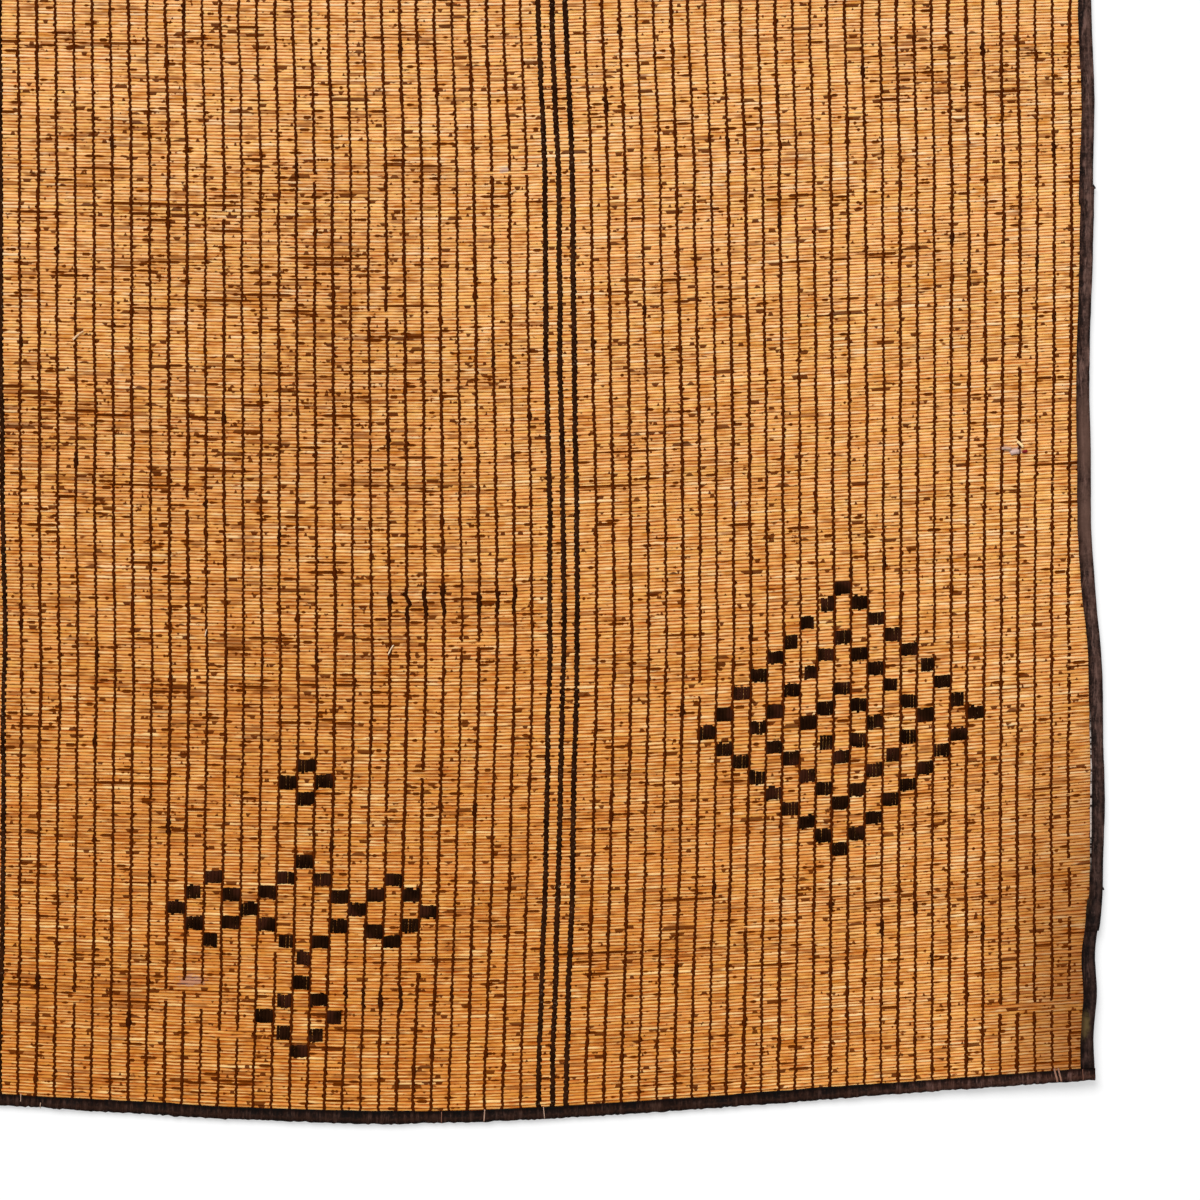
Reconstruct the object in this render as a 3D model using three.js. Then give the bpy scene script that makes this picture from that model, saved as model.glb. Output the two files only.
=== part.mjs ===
// A reed mat as it lies on a floor: grass-reed stems bound side by side with leather thongs,
// and a strip of leather folded over each of its four edges.
// Millimetres. X runs across the mat, along its reeds. Y runs along the mat, with its thongs.
// Z is up, and the origin is on the floor under the middle of the mat.
import * as THREE from "three";

// Driving sizes
const HALF_LENGTH = 875; // middle of the mat to the outer face of an end binding
const HALF_WIDTH = 574; // middle of the mat to the outer face of a side binding, where it is straight
const FIELD_THICK = 2.8; // reeds, with the thongs that pass under them
const RIM_THICK = 2.0; // reeds alone, pinched inside a binding
const LEATHER = 0.9; // binding leather
const GAP = 0.3; // between two pieces
const SIDE_BINDING = 9.6; // width of the folded side strips
const END_BINDING = 9.1; // width of the folded end strips
const FOLD_ROUND = 0.7; // how far a binding's folded corners are cut back

// Heavy thongs: a row of three on each side of the middle panel
const TRIPLE_INNER = 188.8; // middle of the mat to the first of the three
const TRIPLE_STEP = 9.6; // one heavy thong to the next
const HEAVY_WIDTH = 3.2;
const HEAVY_THICK = 0.8;

// How finely the solids follow the mat's bends
const ROWS = 43; // steps along the mat
const COLUMNS = 22; // steps across it
const RAMP = 8; // length over which the reeds rise into a binding

// The reeds dip towards the near end. Away from the lowest place the dip soon rises in a straight line.
const DIP_MIDDLE = 90; // where across the mat the dip is lowest
const DIP_SLOPE = 0.082; // rise for each millimetre across, before it is shared out along the mat
const DIP_ROUND = 9; // how gently it turns to the left of the lowest place

// Share of the dip at each place along the mat on either side of its lowest place, and how gently it
// turns to the right of it
const DIP = [
  { along: -875, left: 0.82, right: 1.0, round: 9 },
  { along: -790, left: 0.54, right: 1.08, round: 20 },
  { along: -750, left: 0.49, right: 1.35, round: 30 },
  { along: -715, left: 0.43, right: 1.65, round: 42 },
  { along: -670, left: 0.34, right: 2.18, round: 60 },
  { along: -630, left: 0.33, right: 1.75, round: 48 },
  { along: -595, left: 0.36, right: 1.25, round: 30 },
  { along: -545, left: 0.36, right: 0.87, round: 16 },
  { along: -475, left: 0.28, right: 0.73, round: 9 },
  { along: -350, left: 0.34, right: 0.81, round: 15 },
  { along: -250, left: 0.28, right: 0.72, round: 16 },
  { along: -150, left: 0.28, right: 0.52, round: 10 },
  { along: 150, left: 0.05, right: 0.2, round: 9 },
  { along: 450, left: 0.0, right: 0.0, round: 9 },
];

// The thongs bow sideways in one slow wave
const THONG_BOW = [
  { along: -875, bow: -2.0 },
  { along: -835, bow: -1.4 },
  { along: -800, bow: -0.3 },
  { along: -735, bow: 1.7 },
  { along: -700, bow: 3.0 },
  { along: -655, bow: 3.8 },
  { along: -610, bow: 4.6 },
  { along: -540, bow: 6.1 },
  { along: -466, bow: 5.6 },
  { along: -420, bow: 5.0 },
  { along: -350, bow: 3.2 },
  { along: -214, bow: 2.2 },
  { along: -88, bow: -2.4 },
  { along: 150, bow: -3.0 },
  { along: 450, bow: 1.5 },
  { along: 875, bow: 0.0 },
];

// Share of that bow at each place across the mat: the outermost thongs are straight
const BOW_SHARE = [
  { across: -559, share: 0.0 },
  { across: -190, share: 0.45 },
  { across: 198, share: 1.0 },
  { across: 559, share: 0.0 },
];

// How far each side edge stands out past HALF_WIDTH, where reed ends were left longer
const SIDE_EDGES = [
  { along: -875, left: 3.0, right: 1.8 },
  { along: -845, left: 3.2, right: 1.1 },
  { along: -809, left: 3.6, right: 3.6 },
  { along: -783, left: 3.9, right: 2.5 },
  { along: -758, left: 4.4, right: 5.4 },
  { along: -735, left: 4.7, right: 7.2 },
  { along: -675, left: 5.2, right: 8.2 },
  { along: -620, left: 5.0, right: 7.6 },
  { along: -570, left: 4.6, right: 6.0 },
  { along: -520, left: 4.1, right: 1.6 },
  { along: -480, left: 4.0, right: -1.1 },
  { along: -430, left: 4.1, right: -1.3 },
  { along: -384, left: 4.3, right: -2.2 },
  { along: -330, left: 5.2, right: -0.6 },
  { along: -282, left: 6.4, right: 0.4 },
  { along: -229, left: 7.4, right: 1.5 },
  { along: -177, left: 8.0, right: 2.5 },
  { along: -107, left: 8.2, right: 0.3 },
  { along: 150, left: 6.0, right: 1.0 },
  { along: 420, left: 4.5, right: -1.5 },
  { along: 690, left: 6.5, right: 1.5 },
  { along: 875, left: 4.0, right: -1.0 },
];

// The near right corner curls up off the floor
const CORNER_LIFT = 6;
const CORNER_REACH = 260; // from the corner to where the curl starts, measured along both edges

const FIELD_SEAT = LEATHER + GAP; // binding's outer face to the edge of the reeds
const BINDING_THICK = 2 * FIELD_SEAT + RIM_THICK;
const RIM_WIDTH = Math.max(SIDE_BINDING, END_BINDING); // reeds' edge to where they leave the binding

const REED_COLOUR = 0xb17640;
const THONG_COLOUR = 0x3a1c0c;
const SIDE_LEATHER_COLOUR = 0x4b3a33;
const END_LEATHER_COLOUR = 0x2f1b13;

// A smooth curve through one column of a table, which never swings past its rows.
function curveThrough(rows, place, column, at) {
  const last = rows.length - 1;
  if (at <= rows[0][place]) return rows[0][column];
  if (at >= rows[last][place]) return rows[last][column];
  const step = (k) => rows[k + 1][place] - rows[k][place];
  const rise = (k) => (rows[k + 1][column] - rows[k][column]) / step(k);
  const slope = (k) => {
    if (k === 0) return rise(0);
    if (k === last) return rise(last - 1);
    const before = rise(k - 1);
    const after = rise(k);
    return before * after <= 0 ? 0 : (2 * before * after) / (before + after);
  };
  const i = rows.findIndex((row) => row[place] > at) - 1;
  const t = (at - rows[i][place]) / step(i);
  const ease = t * t * (3 - 2 * t);
  const turn = t * (1 - t) * step(i);
  return (
    rows[i][column] * (1 - ease) +
    rows[i + 1][column] * ease +
    turn * ((1 - t) * slope(i) - t * slope(i + 1))
  );
}

// Where a side edge's outer face lies, before the mat settles. side is "left" or "right".
function edgeAcross(side, along) {
  const reach = HALF_WIDTH + curveThrough(SIDE_EDGES, "along", side, along);
  return side === "right" ? reach : -reach;
}

function dipAt(across, along) {
  const side = across > DIP_MIDDLE ? "right" : "left";
  const round = side === "right" ? curveThrough(DIP, "along", "round", along) : DIP_ROUND;
  const full = Math.hypot(round, DIP_SLOPE * (across - DIP_MIDDLE)) - round;
  return full * curveThrough(DIP, "along", side, along);
}

function bowAt(across, along) {
  const share = curveThrough(BOW_SHARE, "across", "share", across);
  return share * curveThrough(THONG_BOW, "along", "bow", along);
}

function liftAt(across, along) {
  const away = (HALF_WIDTH - across + along + HALF_LENGTH) / CORNER_REACH;
  return CORNER_LIFT * Math.max(0, 1 - away) ** 2;
}

// Takes a place on the squarely woven mat to where it lies once the mat has settled on the floor.
function settle(across, along, height) {
  return new THREE.Vector3(
    across + bowAt(across, along),
    along + dipAt(across, along),
    height + liftAt(across, along),
  );
}

// Even steps from one number to another, both included.
function steps(from, to, count) {
  return Array.from({ length: count + 1 }, (_, i) => from + ((to - from) * i) / count);
}

// Places along the mat that the field and the side bindings share: even steps between the ramps.
const RAMP_END = HALF_LENGTH - FIELD_SEAT - RIM_WIDTH - RAMP;
const INNER_ROWS = steps(-RAMP_END, RAMP_END, ROWS);
const FIELD_ROWS = [
  -(HALF_LENGTH - FIELD_SEAT),
  -(RAMP_END + RAMP),
  ...INNER_ROWS,
  RAMP_END + RAMP,
  HALF_LENGTH - FIELD_SEAT,
];

// Places across the mat that the field and the end bindings share, at one place along it.
function fieldColumns(along) {
  const left = edgeAcross("left", along) + FIELD_SEAT;
  const right = edgeAcross("right", along) - FIELD_SEAT;
  const inset = RIM_WIDTH + RAMP;
  return [
    left,
    left + RIM_WIDTH,
    ...steps(left + inset, right - inset, COLUMNS),
    right - RIM_WIDTH,
    right,
  ];
}

// A closed geometry from shared points and triangles.
function closedGeometry(points, triangles) {
  const geometry = new THREE.BufferGeometry();
  geometry.setFromPoints(points);
  geometry.setIndex(triangles.flat());
  geometry.computeVertexNormals();
  return geometry;
}

// A flat sheet with thickness. rows holds rows of { top, bottom } points, +X along a row, +Y row to row.
function slabGeometry(rows) {
  const wide = rows[0].length;
  const points = rows.flatMap((row) => row.flatMap((place) => [place.top, place.bottom]));
  const top = (i, j) => 2 * (j * wide + i);
  const bottom = (i, j) => top(i, j) + 1;
  const triangles = [];
  const quad = (a, b, c, d) => triangles.push([a, b, c], [a, c, d]);
  const lastColumn = wide - 1;
  const lastRow = rows.length - 1;
  for (let j = 0; j < lastRow; j += 1) {
    for (let i = 0; i < lastColumn; i += 1) {
      quad(top(i, j), top(i + 1, j), top(i + 1, j + 1), top(i, j + 1));
      quad(bottom(i, j), bottom(i, j + 1), bottom(i + 1, j + 1), bottom(i + 1, j));
    }
    quad(bottom(0, j), top(0, j), top(0, j + 1), bottom(0, j + 1));
    quad(top(lastColumn, j), bottom(lastColumn, j), bottom(lastColumn, j + 1), top(lastColumn, j + 1));
  }
  for (let i = 0; i < lastColumn; i += 1) {
    quad(bottom(i, 0), bottom(i + 1, 0), top(i + 1, 0), top(i, 0));
    quad(top(i, lastRow), top(i + 1, lastRow), bottom(i + 1, lastRow), bottom(i, lastRow));
  }
  return closedGeometry(points, triangles);
}

// A strip with one section all along it. section holds { inset, height } points, anticlockwise with inset
// to the right and height up. place(inset, height, station) gives a point of the finished mat.
// Seen with height up, and stations running away, insetRight says that inset does run to the right.
function stripGeometry(section, stations, insetRight, place) {
  const around = section.length;
  const points = stations.flatMap((s) => section.map((p) => place(p.inset, p.height, s)));
  const triangles = [];
  for (let j = 0; j < stations.length - 1; j += 1) {
    for (let i = 0; i < around; i += 1) {
      const a = j * around + i;
      const b = j * around + ((i + 1) % around);
      triangles.push([a, b + around, b], [a, a + around, b + around]);
    }
  }
  const outline = section.map((p) => new THREE.Vector2(p.inset, p.height));
  const far = (stations.length - 1) * around;
  for (const [a, b, c] of THREE.ShapeUtils.triangulateShape(outline, [])) {
    triangles.push([a, b, c], [far + a, far + c, far + b]);
  }
  return closedGeometry(points, insetRight ? triangles : triangles.map(([a, b, c]) => [a, c, b]));
}

// Leather folded over the reeds: two layers joined round the outer edge, at inset 0.
function foldedSection(width) {
  return [
    { inset: FOLD_ROUND, height: 0 },
    { inset: width, height: 0 },
    { inset: width, height: LEATHER },
    { inset: LEATHER, height: LEATHER },
    { inset: LEATHER, height: BINDING_THICK - LEATHER },
    { inset: width, height: BINDING_THICK - LEATHER },
    { inset: width, height: BINDING_THICK },
    { inset: FOLD_ROUND, height: BINDING_THICK },
    { inset: 0, height: BINDING_THICK - FOLD_ROUND },
    { inset: 0, height: FOLD_ROUND },
  ];
}

function makeField() {
  const lastRow = FIELD_ROWS.length - 1;
  const rows = FIELD_ROWS.map((along, j) => {
    const columns = fieldColumns(along);
    const lastColumn = columns.length - 1;
    return columns.map((across, i) => {
      const pinched = i < 2 || i > lastColumn - 2 || j < 2 || j > lastRow - 2;
      return {
        top: settle(across, along, pinched ? FIELD_SEAT + RIM_THICK : FIELD_THICK),
        bottom: settle(across, along, pinched ? FIELD_SEAT : 0),
      };
    });
  });
  return slabGeometry(rows);
}

function makeSideBinding(side) {
  const end = HALF_LENGTH - END_BINDING - GAP;
  const stations = [-end, ...INNER_ROWS, end];
  const inward = side === "right" ? -1 : 1;
  const place = (inset, height, along) =>
    settle(edgeAcross(side, along) + inward * inset, along, height);
  return stripGeometry(foldedSection(SIDE_BINDING), stations, side === "left", place);
}

function makeEndBinding(end) {
  const outer = end === "near" ? -HALF_LENGTH : HALF_LENGTH;
  const inward = end === "near" ? 1 : -1;
  const stationCount = fieldColumns(outer).length + 2;
  const place = (inset, height, station) => {
    const along = outer + inward * inset;
    const columns = [edgeAcross("left", along), ...fieldColumns(along), edgeAcross("right", along)];
    return settle(columns[station], along, height);
  };
  const stations = Array.from({ length: stationCount }, (_, i) => i);
  return stripGeometry(foldedSection(END_BINDING), stations, end === "far", place);
}

function makeHeavyThong(across) {
  const end = HALF_LENGTH - END_BINDING - GAP;
  const stations = [-end, ...INNER_ROWS.filter((_, i) => i % 2 === 0 || i === ROWS), end];
  const section = [
    { inset: -HEAVY_WIDTH / 2, height: GAP },
    { inset: HEAVY_WIDTH / 2, height: GAP },
    { inset: HEAVY_WIDTH / 2, height: GAP + HEAVY_THICK },
    { inset: -HEAVY_WIDTH / 2, height: GAP + HEAVY_THICK },
  ];
  const place = (inset, height, along) => {
    const pinch = THREE.MathUtils.clamp((Math.abs(along) - RAMP_END) / RAMP, 0, 1);
    const reedTop = THREE.MathUtils.lerp(FIELD_THICK, FIELD_SEAT + RIM_THICK, pinch);
    return settle(across + inset, along, reedTop + height);
  };
  return stripGeometry(section, stations, true, place);
}

function leatherMaterial(colour) {
  return new THREE.MeshStandardMaterial({ color: colour, roughness: 0.6, metalness: 0 });
}

function addPiece(group, name, geometry, material) {
  const piece = new THREE.Mesh(geometry, material);
  piece.name = name;
  group.add(piece);
}

const mat = new THREE.Group();
const reed = new THREE.MeshStandardMaterial({ color: REED_COLOUR, roughness: 0.55, metalness: 0 });
addPiece(mat, "reed_field", makeField(), reed);
for (const side of ["left", "right"]) {
  const sign = side === "right" ? 1 : -1;
  ["inner", "middle", "outer"].forEach((name, k) => {
    const across = sign * (TRIPLE_INNER + k * TRIPLE_STEP);
    addPiece(mat, `thong_${side}_${name}`, makeHeavyThong(across), leatherMaterial(THONG_COLOUR));
  });
  addPiece(mat, `binding_${side}`, makeSideBinding(side), leatherMaterial(SIDE_LEATHER_COLOUR));
}
for (const end of ["near", "far"]) {
  addPiece(mat, `binding_${end}`, makeEndBinding(end), leatherMaterial(END_LEATHER_COLOUR));
}

export default mat;
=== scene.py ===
"""A reed mat bound with leather thongs, lying on a pale floor.

The file is laid out as an add-on and is run as a script. Reeds, thongs and motif strips are
grown straight by Geometry Nodes, as they lie in the squarely woven mat. Every piece is then laid down by
one function, lay(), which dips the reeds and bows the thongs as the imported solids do.
"""

import math

import bpy
import numpy as np
from bpy.props import FloatProperty, FloatVectorProperty, IntProperty, PointerProperty
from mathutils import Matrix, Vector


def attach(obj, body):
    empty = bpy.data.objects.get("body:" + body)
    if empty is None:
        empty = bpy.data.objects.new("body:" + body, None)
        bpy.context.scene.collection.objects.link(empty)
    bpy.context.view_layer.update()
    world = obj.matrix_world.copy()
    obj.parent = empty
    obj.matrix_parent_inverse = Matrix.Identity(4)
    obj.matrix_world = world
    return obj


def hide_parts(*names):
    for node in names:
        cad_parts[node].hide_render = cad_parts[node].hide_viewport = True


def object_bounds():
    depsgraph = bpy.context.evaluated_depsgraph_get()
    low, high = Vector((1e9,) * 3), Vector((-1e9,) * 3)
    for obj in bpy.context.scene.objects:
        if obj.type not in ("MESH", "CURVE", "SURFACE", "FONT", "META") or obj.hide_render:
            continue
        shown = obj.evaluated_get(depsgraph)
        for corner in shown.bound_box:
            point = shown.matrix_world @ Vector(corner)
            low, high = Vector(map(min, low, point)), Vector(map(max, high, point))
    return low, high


bl_info = {
    "name": "Reed Mat",
    "version": (1, 0, 0),
    "blender": (4, 5, 0),
    "location": "3D View > Sidebar > Reed Mat",
    "description": "Dresses the packed solids of a reed and leather mat",
    "category": "Add Mesh",
}

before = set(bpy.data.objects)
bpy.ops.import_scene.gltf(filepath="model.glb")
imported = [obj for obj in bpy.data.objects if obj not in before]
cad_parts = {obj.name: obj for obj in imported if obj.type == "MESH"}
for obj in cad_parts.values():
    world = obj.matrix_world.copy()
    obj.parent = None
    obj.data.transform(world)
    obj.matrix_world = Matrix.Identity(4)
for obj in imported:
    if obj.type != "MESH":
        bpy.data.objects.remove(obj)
CAD_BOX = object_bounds()
MM = 0.001


# ---------------------------------------------------------------- how the mat lies


def table(columns, *rows):
    """A short table as one array for each named column."""
    return dict(zip(columns.split(), np.array(rows, float).T))


def rows_of(named_table):
    """A table's rows, with their numbers in the order of its columns."""
    return np.transpose(list(named_table.values()))


# Share of the reeds' dip on either side of its lowest place, and how gently it turns to the right of it
DIP = table(
    "along left right round",
    (-875, 0.82, 1.00, 9),
    (-790, 0.54, 1.08, 20),
    (-750, 0.49, 1.35, 30),
    (-715, 0.43, 1.65, 42),
    (-670, 0.34, 2.18, 60),
    (-630, 0.33, 1.75, 48),
    (-595, 0.36, 1.25, 30),
    (-545, 0.36, 0.87, 16),
    (-475, 0.28, 0.73, 9),
    (-350, 0.34, 0.81, 15),
    (-250, 0.28, 0.72, 16),
    (-150, 0.28, 0.52, 10),
    (150, 0.05, 0.20, 9),
    (450, 0.00, 0.00, 9),
)
# The thongs' slow sideways bow, and the share of it at each place across the mat
THONG_BOW = table(
    "along bow",
    (-875, -2.0),
    (-835, -1.4),
    (-800, -0.3),
    (-735, 1.7),
    (-700, 3.0),
    (-655, 3.8),
    (-610, 4.6),
    (-540, 6.1),
    (-466, 5.6),
    (-420, 5.0),
    (-350, 3.2),
    (-214, 2.2),
    (-88, -2.4),
    (150, -3.0),
    (450, 1.5),
    (875, 0.0),
)
BOW_SHARE = table("across share", (-559, 0.0), (-190, 0.45), (198, 1.0), (559, 0.0))
# How far each side edge stands out past HALF_WIDTH
SIDE_EDGES = table(
    "along left right",
    (-875, 3.0, 1.8),
    (-845, 3.2, 1.1),
    (-809, 3.6, 3.6),
    (-783, 3.9, 2.5),
    (-758, 4.4, 5.4),
    (-735, 4.7, 7.2),
    (-675, 5.2, 8.2),
    (-620, 5.0, 7.6),
    (-570, 4.6, 6.0),
    (-520, 4.1, 1.6),
    (-480, 4.0, -1.1),
    (-430, 4.1, -1.3),
    (-384, 4.3, -2.2),
    (-330, 5.2, -0.6),
    (-282, 6.4, 0.4),
    (-229, 7.4, 1.5),
    (-177, 8.0, 2.5),
    (-107, 8.2, 0.3),
    (150, 6.0, 1.0),
    (420, 4.5, -1.5),
    (690, 6.5, 1.5),
    (875, 4.0, -1.0),
)
# How far the thin thongs have strayed sideways besides, at a few places across the mat
DRIFT = table(
    "along w120 e0 e125 e200 e290 e400 e510",
    (-850, -1.5, -2.5, -2.0, 0.0, 2.0, 1.5, -1.0),
    (-760, -1.5, -2.0, -1.5, 0.0, 1.5, 0.5, -1.0),
    (-680, -2.0, -2.0, -1.5, 0.0, 1.5, -0.5, -1.5),
    (-600, -2.0, -1.5, -0.5, 0.0, 1.5, 0.0, -1.0),
    (-520, -2.5, -2.5, -0.5, 0.0, 1.0, 0.0, -1.0),
    (-450, -3.0, -2.5, -1.0, 0.0, 1.0, -0.5, -0.5),
    (-360, -2.0, -1.0, 0.0, 0.0, 2.0, 0.5, 0.5),
    (-240, -2.0, -0.5, -0.5, 0.0, 0.0, 0.0, 1.0),
    (-110, -1.0, 0.5, 0.5, 0.0, -0.5, 0.0, -0.5),
    (150, 0.0, 0.0, 0.0, 0.0, 0.0, 0.0, 0.0),
)
DRIFT_PLACES = {"w120": -120, "e0": 5, "e125": 125, "e200": 200, "e290": 290, "e400": 400, "e510": 510}
# One reed to the next: the stems are not all of one thickness
REED_PITCH = table(
    "along pitch",
    (-875, 2.42),
    (-820, 2.32),
    (-740, 2.20),
    (-680, 2.24),
    (-600, 2.35),
    (-530, 2.32),
    (-420, 2.22),
    (-250, 2.29),
    (-150, 2.20),
    (0, 2.26),
)

GIRTH_VARIES = 0.14  # one stem to another, as a share of the pitch
GIRTH_SEED = 2

HALF_LENGTH = (CAD_BOX[1].y - CAD_BOX[0].y) / 2 / MM
HALF_WIDTH = CAD_BOX[1].x / MM - SIDE_EDGES["right"].max()
DIP_MIDDLE, DIP_SLOPE, DIP_ROUND = 90, 0.082, 9  # lowest place of the dip, slope, and turn on its left
CORNER_LIFT, CORNER_REACH = 6, 260  # how far the near right corner curls up, and from where

LEATHER = 0.9  # thickness of the folded strips
FIELD_SEAT = LEATHER + 0.3  # outer face of a binding to the reed ends
SIDE_BINDING, END_BINDING = 9.6, 9.1  # widths of the folded strips
PINCH_END = FIELD_SEAT + SIDE_BINDING  # from an edge to where the reeds leave the binding
PINCH_RAMP = 8
PINCH_LIFT = 0.55  # how much higher the reeds lie inside a binding

TRIPLE_INNER, TRIPLE_STEP = 188.8, 9.6  # first heavy thong from the middle, and one to the next
TRIPLE_OUTER = TRIPLE_INNER + 2 * TRIPLE_STEP
PANEL_THONGS = 29
CROWDING = 0.036  # the middle panel's spaces narrow towards its right by this share
FIRST_SPACE = 13.5  # last heavy thong to the first thin one of a side panel
LAST_THONG = 559.3  # middle of the mat to the outermost thong


def curve_through(rows, place, column, at):
    """A smooth curve through one column of a table, which never swings past its rows."""
    x, y = rows[place], rows[column]
    at = np.clip(np.asarray(at, float), x[0], x[-1])
    rise = np.diff(y) / np.diff(x)
    slope = np.concatenate([rise[:1], np.zeros(len(x) - 2), rise[-1:]])
    turning = rise[:-1] * rise[1:] > 0
    inner = 2 * rise[:-1] * rise[1:] / np.where(turning, rise[:-1] + rise[1:], 1)
    slope[1:-1] = np.where(turning, inner, 0)
    i = np.clip(np.searchsorted(x, at, side="right") - 1, 0, len(x) - 2)
    step = x[i + 1] - x[i]
    t = (at - x[i]) / step
    ease = t * t * (3 - 2 * t)
    turn = t * (1 - t) * step * ((1 - t) * slope[i] - t * slope[i + 1])
    return y[i] * (1 - ease) + y[i + 1] * ease + turn


def edge_across(side, along):
    """Where a side edge's outer face lies before the mat settles."""
    reach = HALF_WIDTH + curve_through(SIDE_EDGES, "along", side, along)
    return reach if side == "right" else -reach


def pinch_at(across, along):
    """1 inside a binding, 0 out on the field, and a short ramp between."""
    inset = np.minimum(
        HALF_LENGTH - np.abs(along),
        np.minimum(edge_across("right", along) - across, across - edge_across("left", along)),
    )
    t = np.clip((PINCH_END + PINCH_RAMP - inset) / PINCH_RAMP, 0, 1)
    return t * t * (3 - 2 * t)


def lay(flat):
    """Takes points (across, along, height) of the squarely woven mat, in millimetres, to where they lie
    once it has settled on the floor, in metres."""
    across, along, height = np.asarray(flat, float).reshape(-1, 3).T
    rightward = across > DIP_MIDDLE
    turn = np.where(rightward, curve_through(DIP, "along", "round", along), DIP_ROUND)
    dip = np.hypot(turn, DIP_SLOPE * (across - DIP_MIDDLE)) - turn
    left = curve_through(DIP, "along", "left", along)
    right = curve_through(DIP, "along", "right", along)
    bow = curve_through(THONG_BOW, "along", "bow", along)
    share = curve_through(BOW_SHARE, "across", "share", across)
    away = (HALF_WIDTH - across + along + HALF_LENGTH) / CORNER_REACH
    lift = CORNER_LIFT * np.clip(1 - away, 0, None) ** 2
    x = across + bow * share
    y = along + dip * np.where(rightward, right, left)
    return np.stack([x, y, height + lift], axis=1) * MM


def flat_place(x, y):
    """The flat (across, along) of a place on the settled mat, all in millimetres."""
    across, along = x, y
    for _ in range(8):
        laid = lay([(across, along, 0.0)])[0] / MM
        across, along = across + x - laid[0], along + y - laid[1]
    return across, along


def place_reeds():
    """Where each reed lies along the mat and how thick it is. Each touches the one before."""
    rng = np.random.default_rng(GIRTH_SEED)
    girth = [rng.uniform(1 - GIRTH_VARIES, 1 + GIRTH_VARIES)]
    end = HALF_LENGTH - FIELD_SEAT - REED_PITCH["pitch"].mean() / 2
    places = [-end]
    while places[-1] < end:
        pitch = float(curve_through(REED_PITCH, "along", "pitch", places[-1]))
        girth.append(rng.uniform(1 - GIRTH_VARIES, 1 + GIRTH_VARIES))
        places.append(places[-1] + pitch * (girth[-2] + girth[-1]) / 2)
    places = np.array(places)
    pitch = curve_through(REED_PITCH, "along", "pitch", places)
    return (places + end) * 2 * end / (places[-1] + end) - end, pitch * girth


REED_PLACES, REED_GIRTHS = place_reeds()
REEDS = len(REED_PLACES)
PITCH = float(np.diff(REED_PLACES).mean())  # from one reed to the next, on average


def place_thongs(panel):
    """Where the thin thongs of a panel lie across the mat, from left to right."""
    k = np.arange(PANEL_THONGS)
    if panel == "middle":
        t = (k + 1) / (PANEL_THONGS + 1)
        return TRIPLE_INNER * (2 * (t + CROWDING * t * (1 - t)) - 1)
    first = TRIPLE_OUTER + FIRST_SPACE
    outward = first + (LAST_THONG - first) * k / (PANEL_THONGS - 1)
    return outward if panel == "right" else -outward[::-1]


def drift_at(across, along):
    """How far a thin thong has strayed from the slow bow."""
    at = list(DRIFT_PLACES.values())
    stray = [curve_through(DRIFT, "along", name, along) for name in DRIFT_PLACES]
    share = [np.interp(across, at, np.eye(len(at))[k]) for k in range(len(at))]
    return sum(s * d for s, d in zip(share, stray))


WANDER_KNOTS = 4096


def wander(at, wavelength, seed):
    """Smooth seeded noise of about unit size along a line."""
    at = np.asarray(at, float) / wavelength
    knots = np.random.default_rng(seed).normal(0, 0.6, WANDER_KNOTS)
    i = np.floor(at).astype(int)
    t = at - i
    t = t * t * (3 - 2 * t)
    return knots[i % WANDER_KNOTS] * (1 - t) + knots[(i + 1) % WANDER_KNOTS] * t


# ---------------------------------------------------------------- settings


def colour_setting(name, description, default):
    """A colour that a user may change."""
    return FloatVectorProperty(
        name=name, description=description, default=default, subtype="COLOR", min=0, max=1
    )


def length_setting(name, description, default):
    """A length in metres."""
    return FloatProperty(name=name, description=description, default=default, unit="LENGTH")


def share_setting(name, description, default):
    """A share of something else."""
    return FloatProperty(name=name, description=description, default=default, subtype="FACTOR")


def whole_setting(name, description, default, least=0):
    """A whole number, such as a count or the seed of anything random."""
    return IntProperty(name=name, description=description, default=default, min=least)


class ReedSettings(bpy.types.PropertyGroup):
    """The reed stems."""

    thickness: share_setting("Thickness", "Of one stem, as a share of its spacing", 1.14)
    flatness: share_setting("Flatness", "Height of a stem's section as a share of its width", 0.74)
    height: length_setting("Height", "Middle of a stem above the floor", 1.5 * MM)
    stagger: length_setting("Stagger", "How much every other stem is pressed down", 0.12 * MM)
    waver: length_setting("Waver", "How far the stems stray from straight", 0.3 * MM)
    rings: whole_setting("Rings", "Sections along a stem", 26, least=8)
    seed: whole_setting("Seed", "Changes every stem", 4)
    straw_colour: colour_setting("Straw colour", "Clean yellowish stem", (1.0, 0.60, 0.185))
    rosy_colour: colour_setting("Rosy colour", "Clean pinkish stem", (0.98, 0.52, 0.185))
    deep_colour: colour_setting("Deep colour", "Stem that has darkened with age", (0.67, 0.255, 0.033))
    ruddy_colour: colour_setting(
        "Ruddy colour", "Stretch of stem with its inner sheath left on", (0.34, 0.10, 0.018)
    )
    dark_colour: colour_setting("Dark colour", "Joints and old leaf sheath", (0.14, 0.027, 0.0006))


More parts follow.
